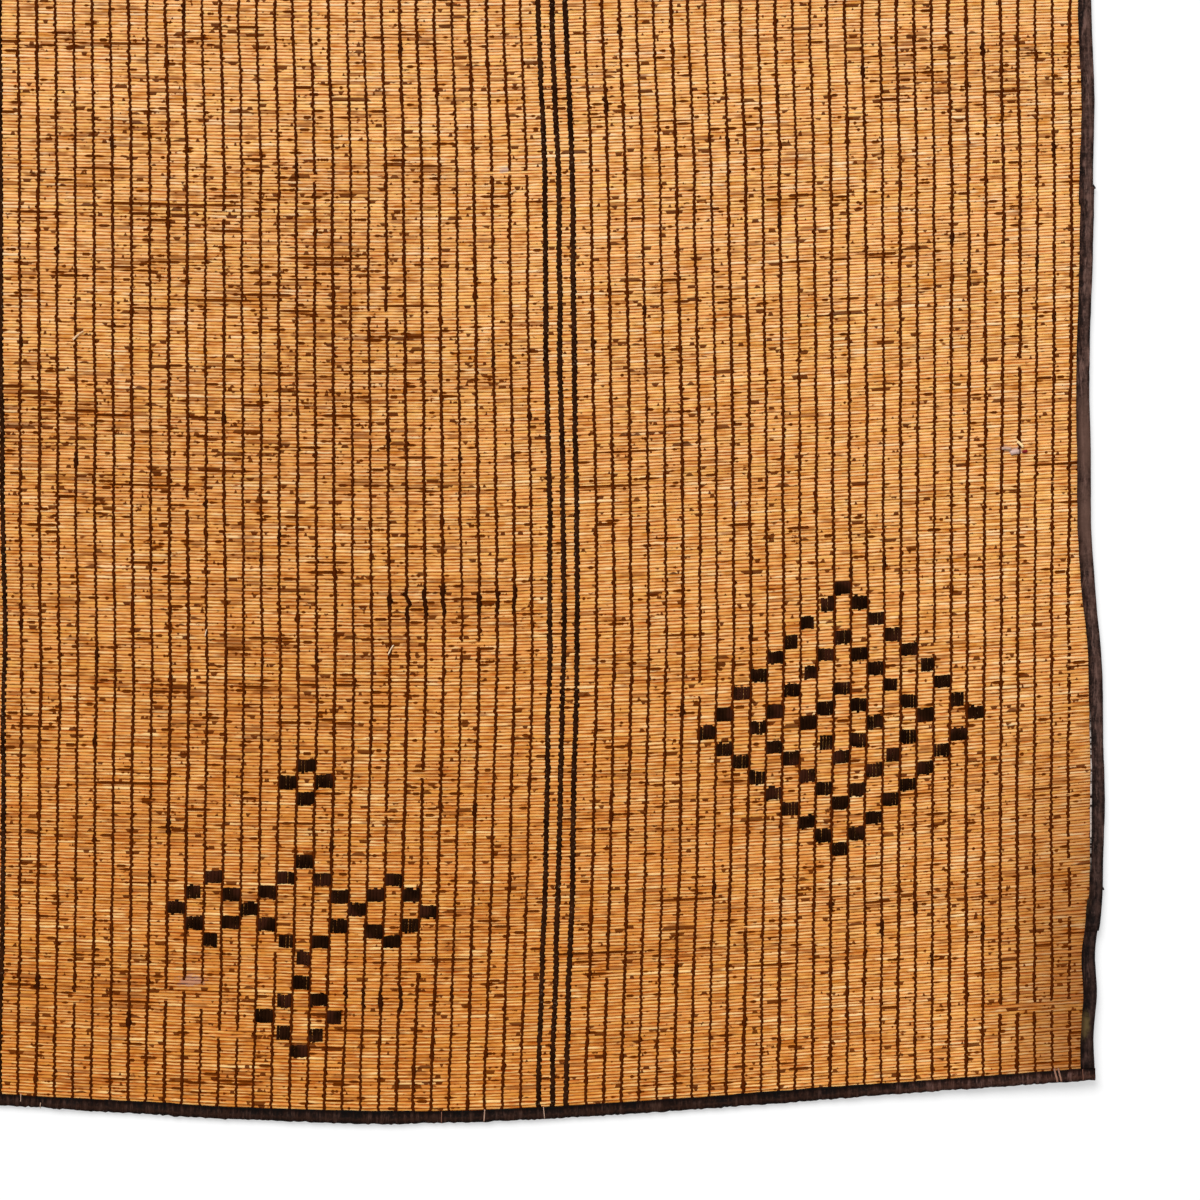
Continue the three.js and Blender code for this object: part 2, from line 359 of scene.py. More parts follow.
class ThongSettings(bpy.types.PropertyGroup):
    """The leather thongs, thin and heavy."""

    width: length_setting("Width", "Of a thin thong", 1.8 * MM)
    heavy_width: length_setting("Heavy width", "Of a heavy thong", 3.45 * MM)
    proud: length_setting("Proud", "How far it stands over the reeds", 0.45 * MM)
    zigzag: length_setting(
        "Zigzag", "Sideways step from reed to reed, as the two strands of a pair cross", 0.37 * MM
    )
    waver: length_setting("Waver", "How far a thong strays from straight", 0.7 * MM)
    seed: whole_setting("Seed", "Changes every thong", 11)
    colour: colour_setting("Colour", "Dyed leather", (0.068, 0.011, 0.0004))
    heavy_colour: colour_setting(
        "Heavy colour", "Dyed leather of the heavy thongs", (0.022, 0.006, 0.0015)
    )


class MotifSettings(bpy.types.PropertyGroup):
    """The dark squares, each of a few short strips side by side."""

    strips: whole_setting("Strips", "Side by side in one square", 5, least=1)
    reeds_over: whole_setting("Reeds over", "Reeds that a strip covers", 4)
    reeds_step: whole_setting("Reeds step", "Reeds from row to row", 5)
    seed: whole_setting("Seed", "Changes every strip", 23)
    colour: colour_setting("Colour", "Black leather", (0.0135, 0.0045, 0.0016))


class BindingSettings(bpy.types.PropertyGroup):
    """The leather strips folded over the edges."""

    ridge: length_setting("Ridge", "Top of the roll above the floor", 5.0 * MM)
    side_colour: colour_setting("Side colour", "Side strips", (0.063, 0.0335, 0.026))
    end_colour: colour_setting("End colour", "End strips", (0.018, 0.0072, 0.0042))
    thread_colour: colour_setting("Thread colour", "Palest threads", (0.85, 0.62, 0.46))
    burr_colour: colour_setting("Burr colour", "Burrs at the right edge", (0.013, 0.013, 0.013))
    seed: whole_setting("Seed", "Changes the edges' unevenness", 31)


class StageSettings(bpy.types.PropertyGroup):
    """Floor, lights and camera."""

    floor_colour: colour_setting("Floor colour", "Pale floor", (0.6, 0.6, 0.6))
    glow: FloatProperty(name="Glow", description="What keeps the floor beside the mat white", default=0.42)
    key: FloatProperty(name="Key", description="Light from the sun lamp", default=0.58)
    fill: FloatProperty(name="Fill", description="Light from all round", default=0.47)
    middle: FloatVectorProperty(
        name="Middle",
        description="Place on the floor that the camera looks straight down on",
        subtype="XYZ",
        size=2,
        default=(0.230, -0.508),
    )
    view_width: length_setting("View width", "Width of mat in view", 0.84)
    mat_top: length_setting("Mat top", "Height at which the view is that wide", 0.004)
    lens: FloatProperty(name="Lens", description="Focal length in millimetres", default=85)


class MatSettings(bpy.types.PropertyGroup):
    """Everything that a user would change."""

    reeds: PointerProperty(type=ReedSettings)
    thongs: PointerProperty(type=ThongSettings)
    motifs: PointerProperty(type=MotifSettings)
    bindings: PointerProperty(type=BindingSettings)
    stage: PointerProperty(type=StageSettings)


# ---------------------------------------------------------------- node and mesh helpers


class Graph:
    """Adds nodes to a tree. A value given for a socket is a plain value or another node's socket."""

    def __init__(self, tree):
        self.tree = tree

    def add(self, kind, values=None, **settings):
        node = self.tree.nodes.new(kind)
        for name, value in settings.items():
            setattr(node, name, value)
        for key, value in (values or {}).items():
            self.feed(self.socket(node.inputs, key), value)
        return node

    def feed(self, socket, value):
        if isinstance(value, bpy.types.NodeSocket):
            self.tree.links.new(value, socket)
        else:
            socket.default_value = value

    @staticmethod
    def socket(sockets, key):
        """A socket by its number, or the first one in use with that name."""
        if isinstance(key, int):
            return sockets[key]
        return next(s for s in sockets if s.name == key and s.enabled)

    def make(self, kind, values=None, **settings):
        """As add, but returns the node's first output in use."""
        node = self.add(kind, values, **settings)
        return next(s for s in node.outputs if s.enabled)

    def math(self, operation, *values, clamp=False):
        return self.make("ShaderNodeMath", dict(enumerate(values)), operation=operation, use_clamp=clamp)

    def times(self, first, *others):
        for other in others:
            first = self.math("MULTIPLY", first, other)
        return first

    def plus(self, first, second):
        return self.math("ADD", first, second)

    def minus(self, first, second):
        return self.math("SUBTRACT", first, second)

    def times_plus(self, first, second, third):
        """first times second, and third on top."""
        return self.math("MULTIPLY_ADD", first, second, third)

    def away_from(self, value, middle):
        """How far a value is from the middle, on either side."""
        return self.math("ABSOLUTE", self.minus(value, middle))

    def vector(self, x=0.0, y=0.0, z=0.0):
        return self.make("ShaderNodeCombineXYZ", {"X": x, "Y": y, "Z": z})

    def vector_math(self, operation, first, second):
        return self.make("ShaderNodeVectorMath", {0: first, 1: second}, operation=operation)

    def scaled(self, vector, *scale):
        return self.vector_math("MULTIPLY", vector, scale)

    def noise(self, vector, scale=1.0, detail=2.0, roughness=0.5):
        values = {"Vector": vector, "Scale": scale, "Detail": detail, "Roughness": roughness}
        return self.make("ShaderNodeTexNoise", values)

    def ramp(self, value, low, high, to_low=0.0, to_high=1.0):
        """Smoothly from to_low to to_high as value goes from low to high."""
        values = {"Value": value, "From Min": low, "From Max": high, "To Min": to_low, "To Max": to_high}
        return self.make("ShaderNodeMapRange", values, interpolation_type="SMOOTHSTEP")

    def random(self, low, high, seed, **more):
        """A random number, or a random vector where the limits are vectors."""
        kind = "FLOAT_VECTOR" if isinstance(low, tuple) else "FLOAT"
        values = {"Min": low, "Max": high, "Seed": seed, **more}
        return self.make("FunctionNodeRandomValue", values, data_type=kind)

    def attribute(self, name):
        """A named value of the mesh, for a material."""
        node = self.add("ShaderNodeAttribute", attribute_type="GEOMETRY", attribute_name=name)
        return node.outputs["Fac"]

    def stored(self, name):
        """A named value of the geometry, for a tree."""
        return self.make("GeometryNodeInputNamedAttribute", {"Name": name}, data_type="FLOAT")

    def store(self, geometry, name, value):
        """Names a value of the geometry, which a mesh made from it keeps."""
        values = {"Geometry": geometry, "Name": name, "Value": value}
        return self.make("GeometryNodeStoreNamedAttribute", values)

    def moved(self, geometry, offset):
        return self.make("GeometryNodeSetPosition", {"Geometry": geometry, "Offset": offset})

    def row(self, count, step):
        """Points in a straight row, a step apart."""
        return self.make("GeometryNodeMeshLine", {"Count": count, "Offset": step}, mode="OFFSET")

    def line(self, start, end, count):
        """A straight curve with evenly spaced points."""
        line = self.make("GeometryNodeCurvePrimitiveLine", {"Start": start, "End": end})
        return self.make("GeometryNodeResampleCurve", {"Curve": line, "Count": count}, mode="COUNT")

    def copies(self, points, curve):
        """The same curve at every point."""
        copies = self.make("GeometryNodeInstanceOnPoints", {"Points": points, "Instance": curve})
        return self.make("GeometryNodeRealizeInstances", {"Geometry": copies})

    def upright(self, curve):
        """The same curve, whose section doesn't roll as it goes."""
        return self.make("GeometryNodeSetCurveNormal", {"Curve": curve}, mode="Z_UP")

    def tube(self, curve, section, **more):
        """A section swept along a curve, with capped ends."""
        values = {"Curve": curve, "Profile Curve": section, "Fill Caps": True, **more}
        return self.make("GeometryNodeCurveToMesh", values)

    def close(self, geometry, material):
        """Ends a tree: instances realized, shaded smooth, with its material."""
        real = self.make("GeometryNodeRealizeInstances", {"Geometry": geometry})
        smooth = self.make("GeometryNodeSetShadeSmooth", {"Geometry": real, "Shade Smooth": True})
        done = self.make("GeometryNodeSetMaterial", {"Geometry": smooth, "Material": material})
        self.add("NodeGroupOutput", {"Geometry": done})

    def mix(self, factor, first, second, blend="MIX"):
        """Mixes two colours."""
        node = self.tree.nodes.new("ShaderNodeMix")
        node.data_type, node.blend_type = "RGBA", blend
        for socket, value in ((node.inputs[0], factor), (node.inputs[6], first), (node.inputs[7], second)):
            if not isinstance(value, (bpy.types.NodeSocket, float, int)):
                value = (*value[:3], 1.0)
            self.feed(socket, value)
        return node.outputs[2]


def new_tree(name, **inputs):
    """A Geometry Nodes tree with its graph and the sockets of its inputs. inputs has, for each kind, the
    labels of the inputs of that kind."""
    tree = bpy.data.node_groups.new(name, "GeometryNodeTree")
    tree.is_modifier = True
    tree.interface.new_socket("Geometry", in_out="OUTPUT", socket_type="NodeSocketGeometry")
    tree.interface.new_socket("Geometry", in_out="INPUT", socket_type="NodeSocketGeometry")
    for kind, labels in inputs.items():
        for label in labels.split():
            tree.interface.new_socket(label, in_out="INPUT", socket_type="NodeSocket" + kind)
    graph = Graph(tree)
    return tree, graph, graph.add("NodeGroupInput").outputs


def add_object(name, data):
    """A new object in the scene."""
    thing = bpy.data.objects.new(name, data)
    bpy.context.scene.collection.objects.link(thing)
    return thing


def grow(tree, base=None, **inputs):
    """Runs a tree on a mesh, and returns what it makes as a plain mesh. inputs are its named inputs."""
    carrier = add_object("carrier", base or bpy.data.meshes.new("carrier"))
    modifier = carrier.modifiers.new("Build", "NODES")
    modifier.node_group = tree
    sockets = {s.name: s.identifier for s in tree.interface.items_tree if s.in_out == "INPUT"}
    for name, value in inputs.items():
        modifier[sockets[name.capitalize()]] = value
    graph = bpy.context.evaluated_depsgraph_get()
    mesh = bpy.data.meshes.new_from_object(
        carrier.evaluated_get(graph), preserve_all_data_layers=True, depsgraph=graph
    )
    old = carrier.data
    bpy.data.objects.remove(carrier)
    bpy.data.meshes.remove(old)
    return mesh


def points_of(mesh):
    """A mesh's points in millimetres."""
    flat = np.empty(len(mesh.vertices) * 3)
    mesh.vertices.foreach_get("co", flat)
    return flat.reshape(-1, 3) / MM


def numbers(mesh, name):
    """A named attribute of the mesh's points."""
    values = np.empty(len(mesh.vertices))
    mesh.attributes[name].data.foreach_get("value", values)
    return values


def set_numbers(mesh, name, values):
    layer = mesh.attributes.get(name) or mesh.attributes.new(name, "FLOAT", "POINT")
    layer.data.foreach_set("value", np.asarray(values, np.float32).ravel())


def set_map(mesh, run, turn):
    """A UV map with run along its width and turn up it. turn closes on itself at each whole number, so a
    face that crosses a whole number is kept in one piece."""
    corners = np.empty(len(mesh.loops), int)
    mesh.loops.foreach_get("vertex_index", corners)
    starts = np.empty(len(mesh.polygons), int)
    mesh.polygons.foreach_get("loop_start", starts)
    sizes = np.diff(np.append(starts, len(corners)))
    u, v = run[corners], turn[corners]
    top = np.repeat(np.maximum.reduceat(v, starts), sizes)
    v = np.where(top - v > 0.5, v + 1, v)
    layer = mesh.uv_layers.new(name="OFBake")
    layer.data.foreach_set("uv", np.stack([u, v / np.ceil(turn.max())], axis=1).ravel())


def mesh_of(name, points, faces):
    """A mesh from flat millimetre points, laid down."""
    mesh = bpy.data.meshes.new(name)
    mesh.from_pydata(lay(points).tolist(), [], faces)
    return mesh


def lay_mesh(mesh, points):
    """Lays down a mesh whose points have been worked out in flat millimetres."""
    mesh.vertices.foreach_set("co", lay(points).ravel())
    mesh.update()


def add_piece(name, mesh, material=None, replaces=()):
    """Shows a finished mesh as a piece of the mat."""
    mesh.name = name
    piece = add_object(name, mesh)
    if material:
        mesh.materials.clear()
        mesh.materials.append(material)
    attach(piece, "root")
    if replaces:
        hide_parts(*replaces)
    return piece


# ---------------------------------------------------------------- materials


class Finish(Graph):
    """One material's graph, and the colour that its layers have built up so far."""

    def __init__(self, name):
        self.material = bpy.data.materials.new(name)
        self.material.use_nodes = True
        super().__init__(self.material.node_tree)
        self.shader = self.tree.nodes["Principled BSDF"]
        self.place = self.add("ShaderNodeTexCoord").outputs["Object"]
        self.colour = None

    def parts(self):
        """The place on the mat as x, y and z."""
        return self.add("ShaderNodeSeparateXYZ", {"Vector": self.place}).outputs

    def paint(self, amount, colour):
        """Lays a colour over what is there."""
        self.colour = self.mix(amount, self.colour, colour)

    def tint(self, amount, colour):
        """Multiplies what is there by a colour."""
        self.colour = self.mix(amount, self.colour, colour, blend="MULTIPLY")

    def distance(self, x, y, *scale):
        """How far a place is from (x, y), with each direction scaled."""
        away = self.scaled(self.vector_math("SUBTRACT", self.place, (x, y, 0.0)), *scale, 0.0)
        return self.add("ShaderNodeVectorMath", {0: away}, operation="LENGTH").outputs["Value"]

    def done(self, roughness, shine, bump=None):
        """Wires up the shader. bump is (strength, depth, height)."""
        self.feed(self.shader.inputs["Base Color"], self.colour)
        self.feed(self.shader.inputs["Roughness"], roughness)
        self.shader.inputs["Specular IOR Level"].default_value = shine
        if bump:
            values = dict(zip(("Strength", "Distance", "Height"), bump))
            bump = self.add("ShaderNodeBump", values)
            self.feed(self.shader.inputs["Normal"], bump.outputs["Normal"])
        return self.material


# Painted highlight along the tops of the stems, and painted glints on some of them
STEM_HIGHLIGHT = (1.0, 0.75, 0.44)
MARK = (0.105, 0.017, 0.0003)
# What age and old sheath tint the straw with, the near right corner's darkening, and painted groove shade
AGED_STEM, AGED_CROWN = (0.74, 0.56, 0.42), (0.98, 0.92, 0.66)
NEAR_CORNER_DARK = (0.50, 0.42, 0.40)
GROOVE_SHADE = (0.58, 0.20, 0.006)
OLD_SHEATH = (0.62, 0.44, 0.26)
HALO = (0.70, 0.36, 0.04)  # round a dark mark
# Dark wedges in the grooves, partly dark marks and partly painted shade between the stems: how fast they
# change along a stem, the noise that they show above, how much more makes one a whole stem thick, how much
# oftener they come in the darker patches, and their strength
WEDGES = table(
    "run level rise cluster strength",
    (150, 0.705, 0.05, 0.03, 0.85),
    (75, 0.655, 0.05, 0.03, 0.95),
    (36, 0.652, 0.05, 0.04, 0.95),
    (16, 0.685, 0.05, 0.055, 0.95),
    (6, 0.690, 0.05, 0.05, 0.9),
)
# Brown dashes as high as a stem or two: how fast they change along a stem and from one to the next, the
# noise that they show above, how much oftener they come in the darker patches, and their strength
DASHES = table(
    "run step level cluster strength",
    (90, 0.55, 0.668, 0.015, 0.95),
    (55, 0.60, 0.670, 0.025, 0.95),
    (26, 0.65, 0.700, 0.04, 0.9),
)
# Small old stains, in millimetres, the first of them lilac with a red fleck
STAINS = table(
    "x y reach_x reach_y strength red green blue",
    (522, -403, 6, 3.0, 0.85, 0.62, 0.40, 0.33),
    (514, -402, 8, 3.5, 0.45, 0.45, 0.28, 0.22),
    (528, -404, 2.6, 1.5, 0.95, 0.30, 0.015, 0.02),
    (163, -207, 4, 2.5, 0.60, 0.55, 0.38, 0.34),
    (324, -441, 4, 2.5, 0.60, 0.55, 0.38, 0.34),
    (-57, -775, 12, 5, 0.45, 0.40, 0.25, 0.22),
)


class ReedFinish(Finish):
    """The graph of the reeds, and the places on a stem that its layers follow."""

    def __init__(self, settings):
        super().__init__("reed")
        parts = self.parts()
        self.x, self.y = parts["X"], parts["Y"]
        self.lane = self.math("ROUND", self.attribute("lane"))
        self.tone, self.side = self.attribute("tone"), self.attribute("side")
        self.deep, self.dark, self.ruddy = settings.deep_colour, settings.dark_colour, settings.ruddy_colour
        # 0 along the top of a stem, 1 where it meets the next. The top line wavers.
        top = self.times(self.minus(self.stem_noise(75.0, 3.9, 33.0), 0.5), 1.5)
        self.off = self.math("ABSOLUTE", self.plus(self.side, top))

    def stem_noise(self, run, step, offset, detail=3.0):
        """Noise that runs along each stem, run to the metre, and changes by step from one to the next."""
        vector = self.vector(self.times(self.x, run), self.times(self.lane, step), offset)
        return self.noise(vector, detail=detail)

    def soft_noise(self, run, rise, offset=0.0):
        """Noise over the whole mat, in patches 1/run long and 1/rise high."""
        vector = self.vector_math("ADD", self.scaled(self.place, run, rise, 1.0), (0, 0, offset))
        return self.noise(vector, detail=3.0, roughness=0.6)


def straw(g, settings):
    """Clean stems: yellower and pinker, paler and deeper, from one to the next and along each. Every other
    stem, the raised one, is paler as a painted highlight.
    """
    hue = g.plus(g.times(g.stem_noise(9.0, 1.7, 21.0), 0.6), g.times(g.tone, 0.4))
    clean = g.mix(g.ramp(hue, 0.35, 0.65), settings.straw_colour, settings.rosy_colour)
    slow = g.ramp(g.stem_noise(16.0, 0.9, 0.0), 0.3, 0.7)
    light = g.times_plus(g.tone, 0.24, g.times(slow, 0.26))
    light = g.times_plus(g.ramp(g.soft_noise(55.0, 75.0), 0.3, 0.7), 0.26, light)
    light = g.times_plus(g.ramp(g.stem_noise(80.0, 2.9, 41.0), 0.35, 0.65), 0.24, light)
    g.colour = g.mix(g.ramp(light, 0.15, 0.62), g.deep, clean)


def age_and_highlights(g):
    """The ends of the mat have darkened, more so towards the middle, and less on the painted highlights
    along the tops of the stems and the painted glints on some of them."""
    aged = g.times(g.ramp(g.math("ABSOLUTE", g.y), 0.12, 0.82), g.ramp(g.x, 0.15, 0.5, 1.0, 0.6))
    g.tint(aged, AGED_STEM)
    # Painted highlight along the top line of each stem
    crown_highlight = g.ramp(g.stem_noise(60.0, 5.3, 71.0), 0.38, 0.66, 0.05, 0.7)
    g.paint(g.times(g.ramp(g.off, 0.05, 0.5, 1.0, 0.0), crown_highlight), STEM_HIGHLIGHT)
    # Painted glints along stretches of some stems
    gloss_highlight = g.ramp(g.stem_noise(24.0, 3.3, 51.0), 0.58, 0.68)
    g.paint(g.times(gloss_highlight, g.ramp(g.off, 0.2, 0.9, 0.85, 0.2)), STEM_HIGHLIGHT)
    g.tint(aged, AGED_CROWN)


def dirt_and_groove_shade(g, fibre):
    """The near right corner and the edge by it are darker. Fine fibres run along the stems, and shade is
    painted in the grooves between them, stronger in some places than in others."""
    # Darker towards the near right corner and along the right edge by it
    g.tint(g.times(g.ramp(g.x, 0.48, 0.566), g.ramp(g.y, -0.82, -0.50, 1.0, 0.0)), NEAR_CORNER_DARK)
    g.paint(g.ramp(fibre, 0.44, 0.74, 0.0, 0.32), g.deep)
    along_stem = g.times(g.stem_noise(45.0, 2.3, 9.0), 0.5)
    groove_shade_amount = g.times_plus(g.soft_noise(90.0, 160.0, 7.0), 0.5, along_stem)
    # Painted shade in the grooves between stems, its strength varied by noise
    g.tint(g.times(g.ramp(g.off, 0.1, 0.95), g.ramp(groove_shade_amount, 0.38, 0.6, 0.1, 0.88)), GROOVE_SHADE)


def dirty_patches(g):
    """Where old sheath and dirt have stayed, more of it in the middle of the mat's left."""
    patch = g.ramp(g.soft_noise(5.0, 55.0, 5.0), 0.45, 0.68, 0.0, 0.85)
    middle = g.away_from(g.y, -0.38)
    left = g.times(g.ramp(g.x, 0.02, 0.2, 1.0, -0.2), g.ramp(middle, 0.12, 0.3, 0.6, 0.15))
    return g.plus(g.times_plus(g.ramp(g.soft_noise(4.0, 9.0, 3.0), 0.4, 0.6), 0.4, patch), left)


def stretches_and_dashes(g, patch):
    """Red-brown stretches of single stems, darker straw in the dirty patches, and short brown dashes,
    each as high as the stems that it's on."""
    ruddy = g.times_plus(patch, 0.06, g.stem_noise(26.0, 7.7, 61.0, detail=2.0))
    g.paint(g.ramp(ruddy, 0.65, 0.71, 0.0, 0.7), g.ruddy)
    g.tint(g.ramp(patch, 0.4, 1.2, 0.0, 0.25), OLD_SHEATH)
    for n, (run, step, level, cluster, strength) in enumerate(rows_of(DASHES)):
        amount = g.times_plus(patch, cluster, g.stem_noise(run, step, 81.0 + 9.0 * n))
        amount = g.times_plus(g.side, 0.02 if n % 2 else -0.02, amount)
        amount = g.ramp(amount, level, level + 0.014, 0.0, strength)
        g.paint(amount, g.mix(g.ramp(g.tone, 0.2, 0.8), MARK, g.dark))


def blotches_and_wedges(g, patch):
    """Brown blotches over several stems, and dark wedges and streaks, all thickest in the groove between
    two stems; the wedges are partly dark marks and partly painted shade. Here and there painted shade
    makes the groove a black crack."""
    blotch = g.times_plus(patch, 0.025, g.soft_noise(110.0, 230.0, 9.0))
    blotch = g.times_plus(g.off, 0.03, blotch)
    g.paint(g.ramp(blotch, 0.665, 0.71, 0.0, 0.85), g.ruddy)
    g.paint(g.ramp(blotch, 0.70, 0.74, 0.0, 0.8), g.dark)
    gap = g.math("FLOOR", g.times_plus(g.side, 0.5, g.lane))
    gap = g.add("ShaderNodeTexWhiteNoise", {"W": gap}, noise_dimensions="1D").outputs["Value"]
    up = g.minus(1.0, g.math("ABSOLUTE", g.side))
    for run, level, rise, cluster, strength in rows_of(WEDGES):
        along = g.vector(g.times(g.x, run), g.times(gap, 900.0), run)
        thick = g.times_plus(patch, cluster, g.noise(along, detail=3.0, roughness=0.55))
        thick = g.math("DIVIDE", g.minus(thick, level), rise)
        thick = g.times_plus(g.ramp(thick, 0.0, 0.15), 0.15, g.minus(thick, up))
        g.tint(g.ramp(thick, -0.25, 0.2, 0.0, strength), HALO)
        g.paint(g.ramp(thick, 0.0, 0.4, 0.0, strength), g.dark)
    # Painted shade: here and there the groove between two stems is painted black
    crack_shade = g.times(g.ramp(g.off, 0.6, 0.85), g.ramp(g.stem_noise(60.0, 4.1, 13.0), 0.58, 0.62))
    g.paint(g.times(crack_shade, 0.8), g.dark)


def old_stains(g):
    """Small stains with ragged edges."""
    for x, y, reach_x, reach_y, strength, *colour in rows_of(STAINS):
        away = g.distance(x * MM, y * MM, 1 / (reach_x * MM), 1 / (reach_y * MM))
        ragged = g.times_plus(g.minus(g.soft_noise(260.0, 260.0, 2.0), 0.5), 2.5, away)
        g.paint(g.ramp(ragged, 0.5, 1.0, strength, 0.0), colour)


def reed_material(settings):
    """Dry reed: each stem its own tone, with fine fibres, dark joints, brown sheaths, painted highlights
    along the stem tops and painted shade in the grooves.
    """
    g = ReedFinish(settings)
    fibre = g.stem_noise(110.0, 3.1, g.side)
    straw(g, settings)
    age_and_highlights(g)
    dirt_and_groove_shade(g, fibre)
    patch = dirty_patches(g)
    stretches_and_dashes(g, patch)
    blotches_and_wedges(g, patch)
    old_stains(g)
    return g.done(g.ramp(fibre, 0.3, 0.7, 0.5, 0.72), 0.02, (0.25, 0.0002, fibre))


def leather_material(
    name, colour, grain, wear, shine, roughness=0.6, flecks=0.0, dust=0.0, ruddy=0.0, even=0.0
):
    """Dyed leather with grain, paler, dusty wear, greyish flecks and patches where the red shows. even is
    how little the dye varies, from 0 to 1."""
    g = Finish(name)
    soft = g.noise(g.place, scale=60.0, detail=5.0, roughness=0.6)
    fine = g.noise(g.place, scale=grain, detail=3.0)
    low, high = 0.55 + 0.3 * even, 1.7 - 0.5 * even
    dark, pale = [c * low for c in colour], [min(1, c * high + dust * 0.4) for c in colour]
    g.colour = g.mix(g.ramp(soft, 0.3, 0.7), dark, pale)
    g.paint(g.ramp(fine, 0.55, 0.75, 0.0, wear), [min(1, c * 2.4 + dust) for c in colour])
    if flecks:
        speck = g.noise(g.scaled(g.place, 500.0, 800.0, 500.0), detail=1.0)
        g.paint(g.ramp(speck, 0.66, 0.74, 0.0, flecks), (0.15, 0.10, 0.06))
    g.paint(g.attribute("dye"), (0.016, 0.004, 0.001))
    if ruddy:
        patch = g.noise(g.place, scale=60.0, detail=1.0)
        g.paint(g.ramp(patch, 0.5, 0.66, 0.0, ruddy), (0.045, 0.012, 0.006))
    height = g.plus(g.times(fine, 0.5), soft)
    return g.done(g.ramp(soft, 0.3, 0.7, roughness - 0.1, roughness + 0.15), shine, (0.5, 0.0004, height))


class RolledFinish(Finish):
    """Leather rolled over an edge: creased, with painted shade in the creases, mottled, and with a painted
    highlight along the roll. creased is how fast the creases change in x and in y."""

    def __init__(self, name, colour, creased):
        super().__init__(name)
        self.inset = self.attribute("inset")
        self.soft = self.noise(self.place, scale=95.0, detail=5.0, roughness=0.7)
        self.fine = self.noise(self.place, scale=650.0, detail=3.0)
        crease = self.scaled(self.place, *creased, 25.0)
        self.crease = self.noise(crease, scale=1.6, detail=4.0, roughness=0.7)
        dark, pale = [c * 0.45 for c in colour], [c * 1.6 for c in colour]
        self.colour = self.mix(self.ramp(self.soft, 0.38, 0.62), dark, pale)
        # Painted shade in the hollows of the creases
        self.tint(self.ramp(self.crease, 0.42, 0.6, 0.75, 0.0), (0.4, 0.33, 0.3))
        mottle = self.noise(self.scaled(self.place, 420.0, 70.0, 70.0), detail=5.0, roughness=0.75)
        self.tint(self.ramp(mottle, 0.42, 0.52, 0.85, 0.0), (0.25, 0.22, 0.22))
        self.paint(self.ramp(mottle, 0.52, 0.64, 0.0, 0.75), [c * 2.8 + 0.01 for c in colour])
        # Painted highlight along the top of the roll
        roll = self.ramp(self.away_from(self.inset, 3.2), 0.2, 2.0, 0.6, 0.0)
        ridge_highlight = self.times(roll, self.ramp(self.fine, 0.35, 0.6, 0.4, 1.0))
        self.paint(ridge_highlight, [c * 1.7 for c in colour])
        self.paint(self.ramp(self.fine, 0.56, 0.72, 0.0, 0.35), [c * 2.6 + 0.01 for c in colour])

    def seam(self, width, shade_colour):
        """Paints shade on the leather where it meets the reeds."""
        self.tint(self.ramp(self.inset, width - 3.6, width - 0.6), shade_colour)

    def creased(self):
        """Wires up the shader, with the creases standing up."""
        height = self.plus(self.times(self.fine, 0.4), self.crease)
        return self.done(self.ramp(self.soft, 0.3, 0.7, 0.55, 0.8), 0.05, (0.6, 0.0006, height))


# Worn spots on the right strip, in metres, and their colour
WORN = table(
    "x y reach red green blue",
    (0.5675, -0.715, 0.006, 0.13, 0.095, 0.04),
    (0.568, -0.806, 0.005, 0.12, 0.08, 0.03),
    (0.569, -0.395, 0.016, 0.115, 0.061, 0.045),
    (0.571, -0.455, 0.014, 0.115, 0.061, 0.045),
)
FRAYED = -0.642  # middle of the stretch of its inner edge where pale threads show, in metres


def side_material(colour):
    """The side strips' leather, darker towards the near end, with worn spots. Pale threads show for a
    short way along the right strip's inner edge."""
    g = RolledFinish("side_leather", colour, (25.0, 200.0))
    parts = g.parts()
    g.tint(g.ramp(parts["Y"], -0.78, -0.47, 1.0, 0.0), (0.38, 0.37, 0.37))
    for x, y, reach, *spot in rows_of(WORN):
        ragged = g.times_plus(g.minus(g.soft, 0.5), reach * 2.0, g.distance(x, y, 1.0, 0.4))
        g.paint(g.ramp(ragged, reach * 0.3, reach, 0.75, 0.0), spot)
    # Painted shade along the inner edge, where the reeds meet the strip
    g.seam(SIDE_BINDING, (0.5, 0.42, 0.38))
    near = g.ramp(g.away_from(parts["Y"], FRAYED), 0.03, 0.06, 0.8, 0.0)
    inner = g.ramp(g.inset, SIDE_BINDING - 1.1, SIDE_BINDING - 0.6)
    right = g.math("GREATER_THAN", parts["X"], 0.0)
    g.paint(g.times(near, inner, right, g.ramp(g.crease, 0.4, 0.55)), (0.66, 0.55, 0.48))
    return g.creased()


def end_material(colour):
    """The end strips' leather, paler towards the right."""
    g = RolledFinish("end_leather", colour, (260.0, 25.0))
    g.tint(g.ramp(g.parts()["X"], 0.385, 0.475), (2.2, 2.3, 2.6))
    # Painted shade along the inner edge, where the reeds meet the strip
    g.seam(END_BINDING, (0.22, 0.15, 0.12))
    return g.creased()


def thread_material():
    """Fibre, a little uneven, of each bit's own colour."""
    g = Finish("pale_thread")
    soft = g.noise(g.place, scale=400.0, detail=3.0)
    g.colour = g.vector(g.attribute("red"), g.attribute("green"), g.attribute("blue"))
    g.tint(g.ramp(soft, 0.35, 0.65, 0.3, 0.0), (0.4, 0.3, 0.22))
    return g.done(0.8, 0.1)


# ---------------------------------------------------------------- reeds


REED_SIDES = 6
REED_SEAT, REED_ENDS_VARY = 0.2, 2.0  # how far inside the bindings the stems end, and how much that varies


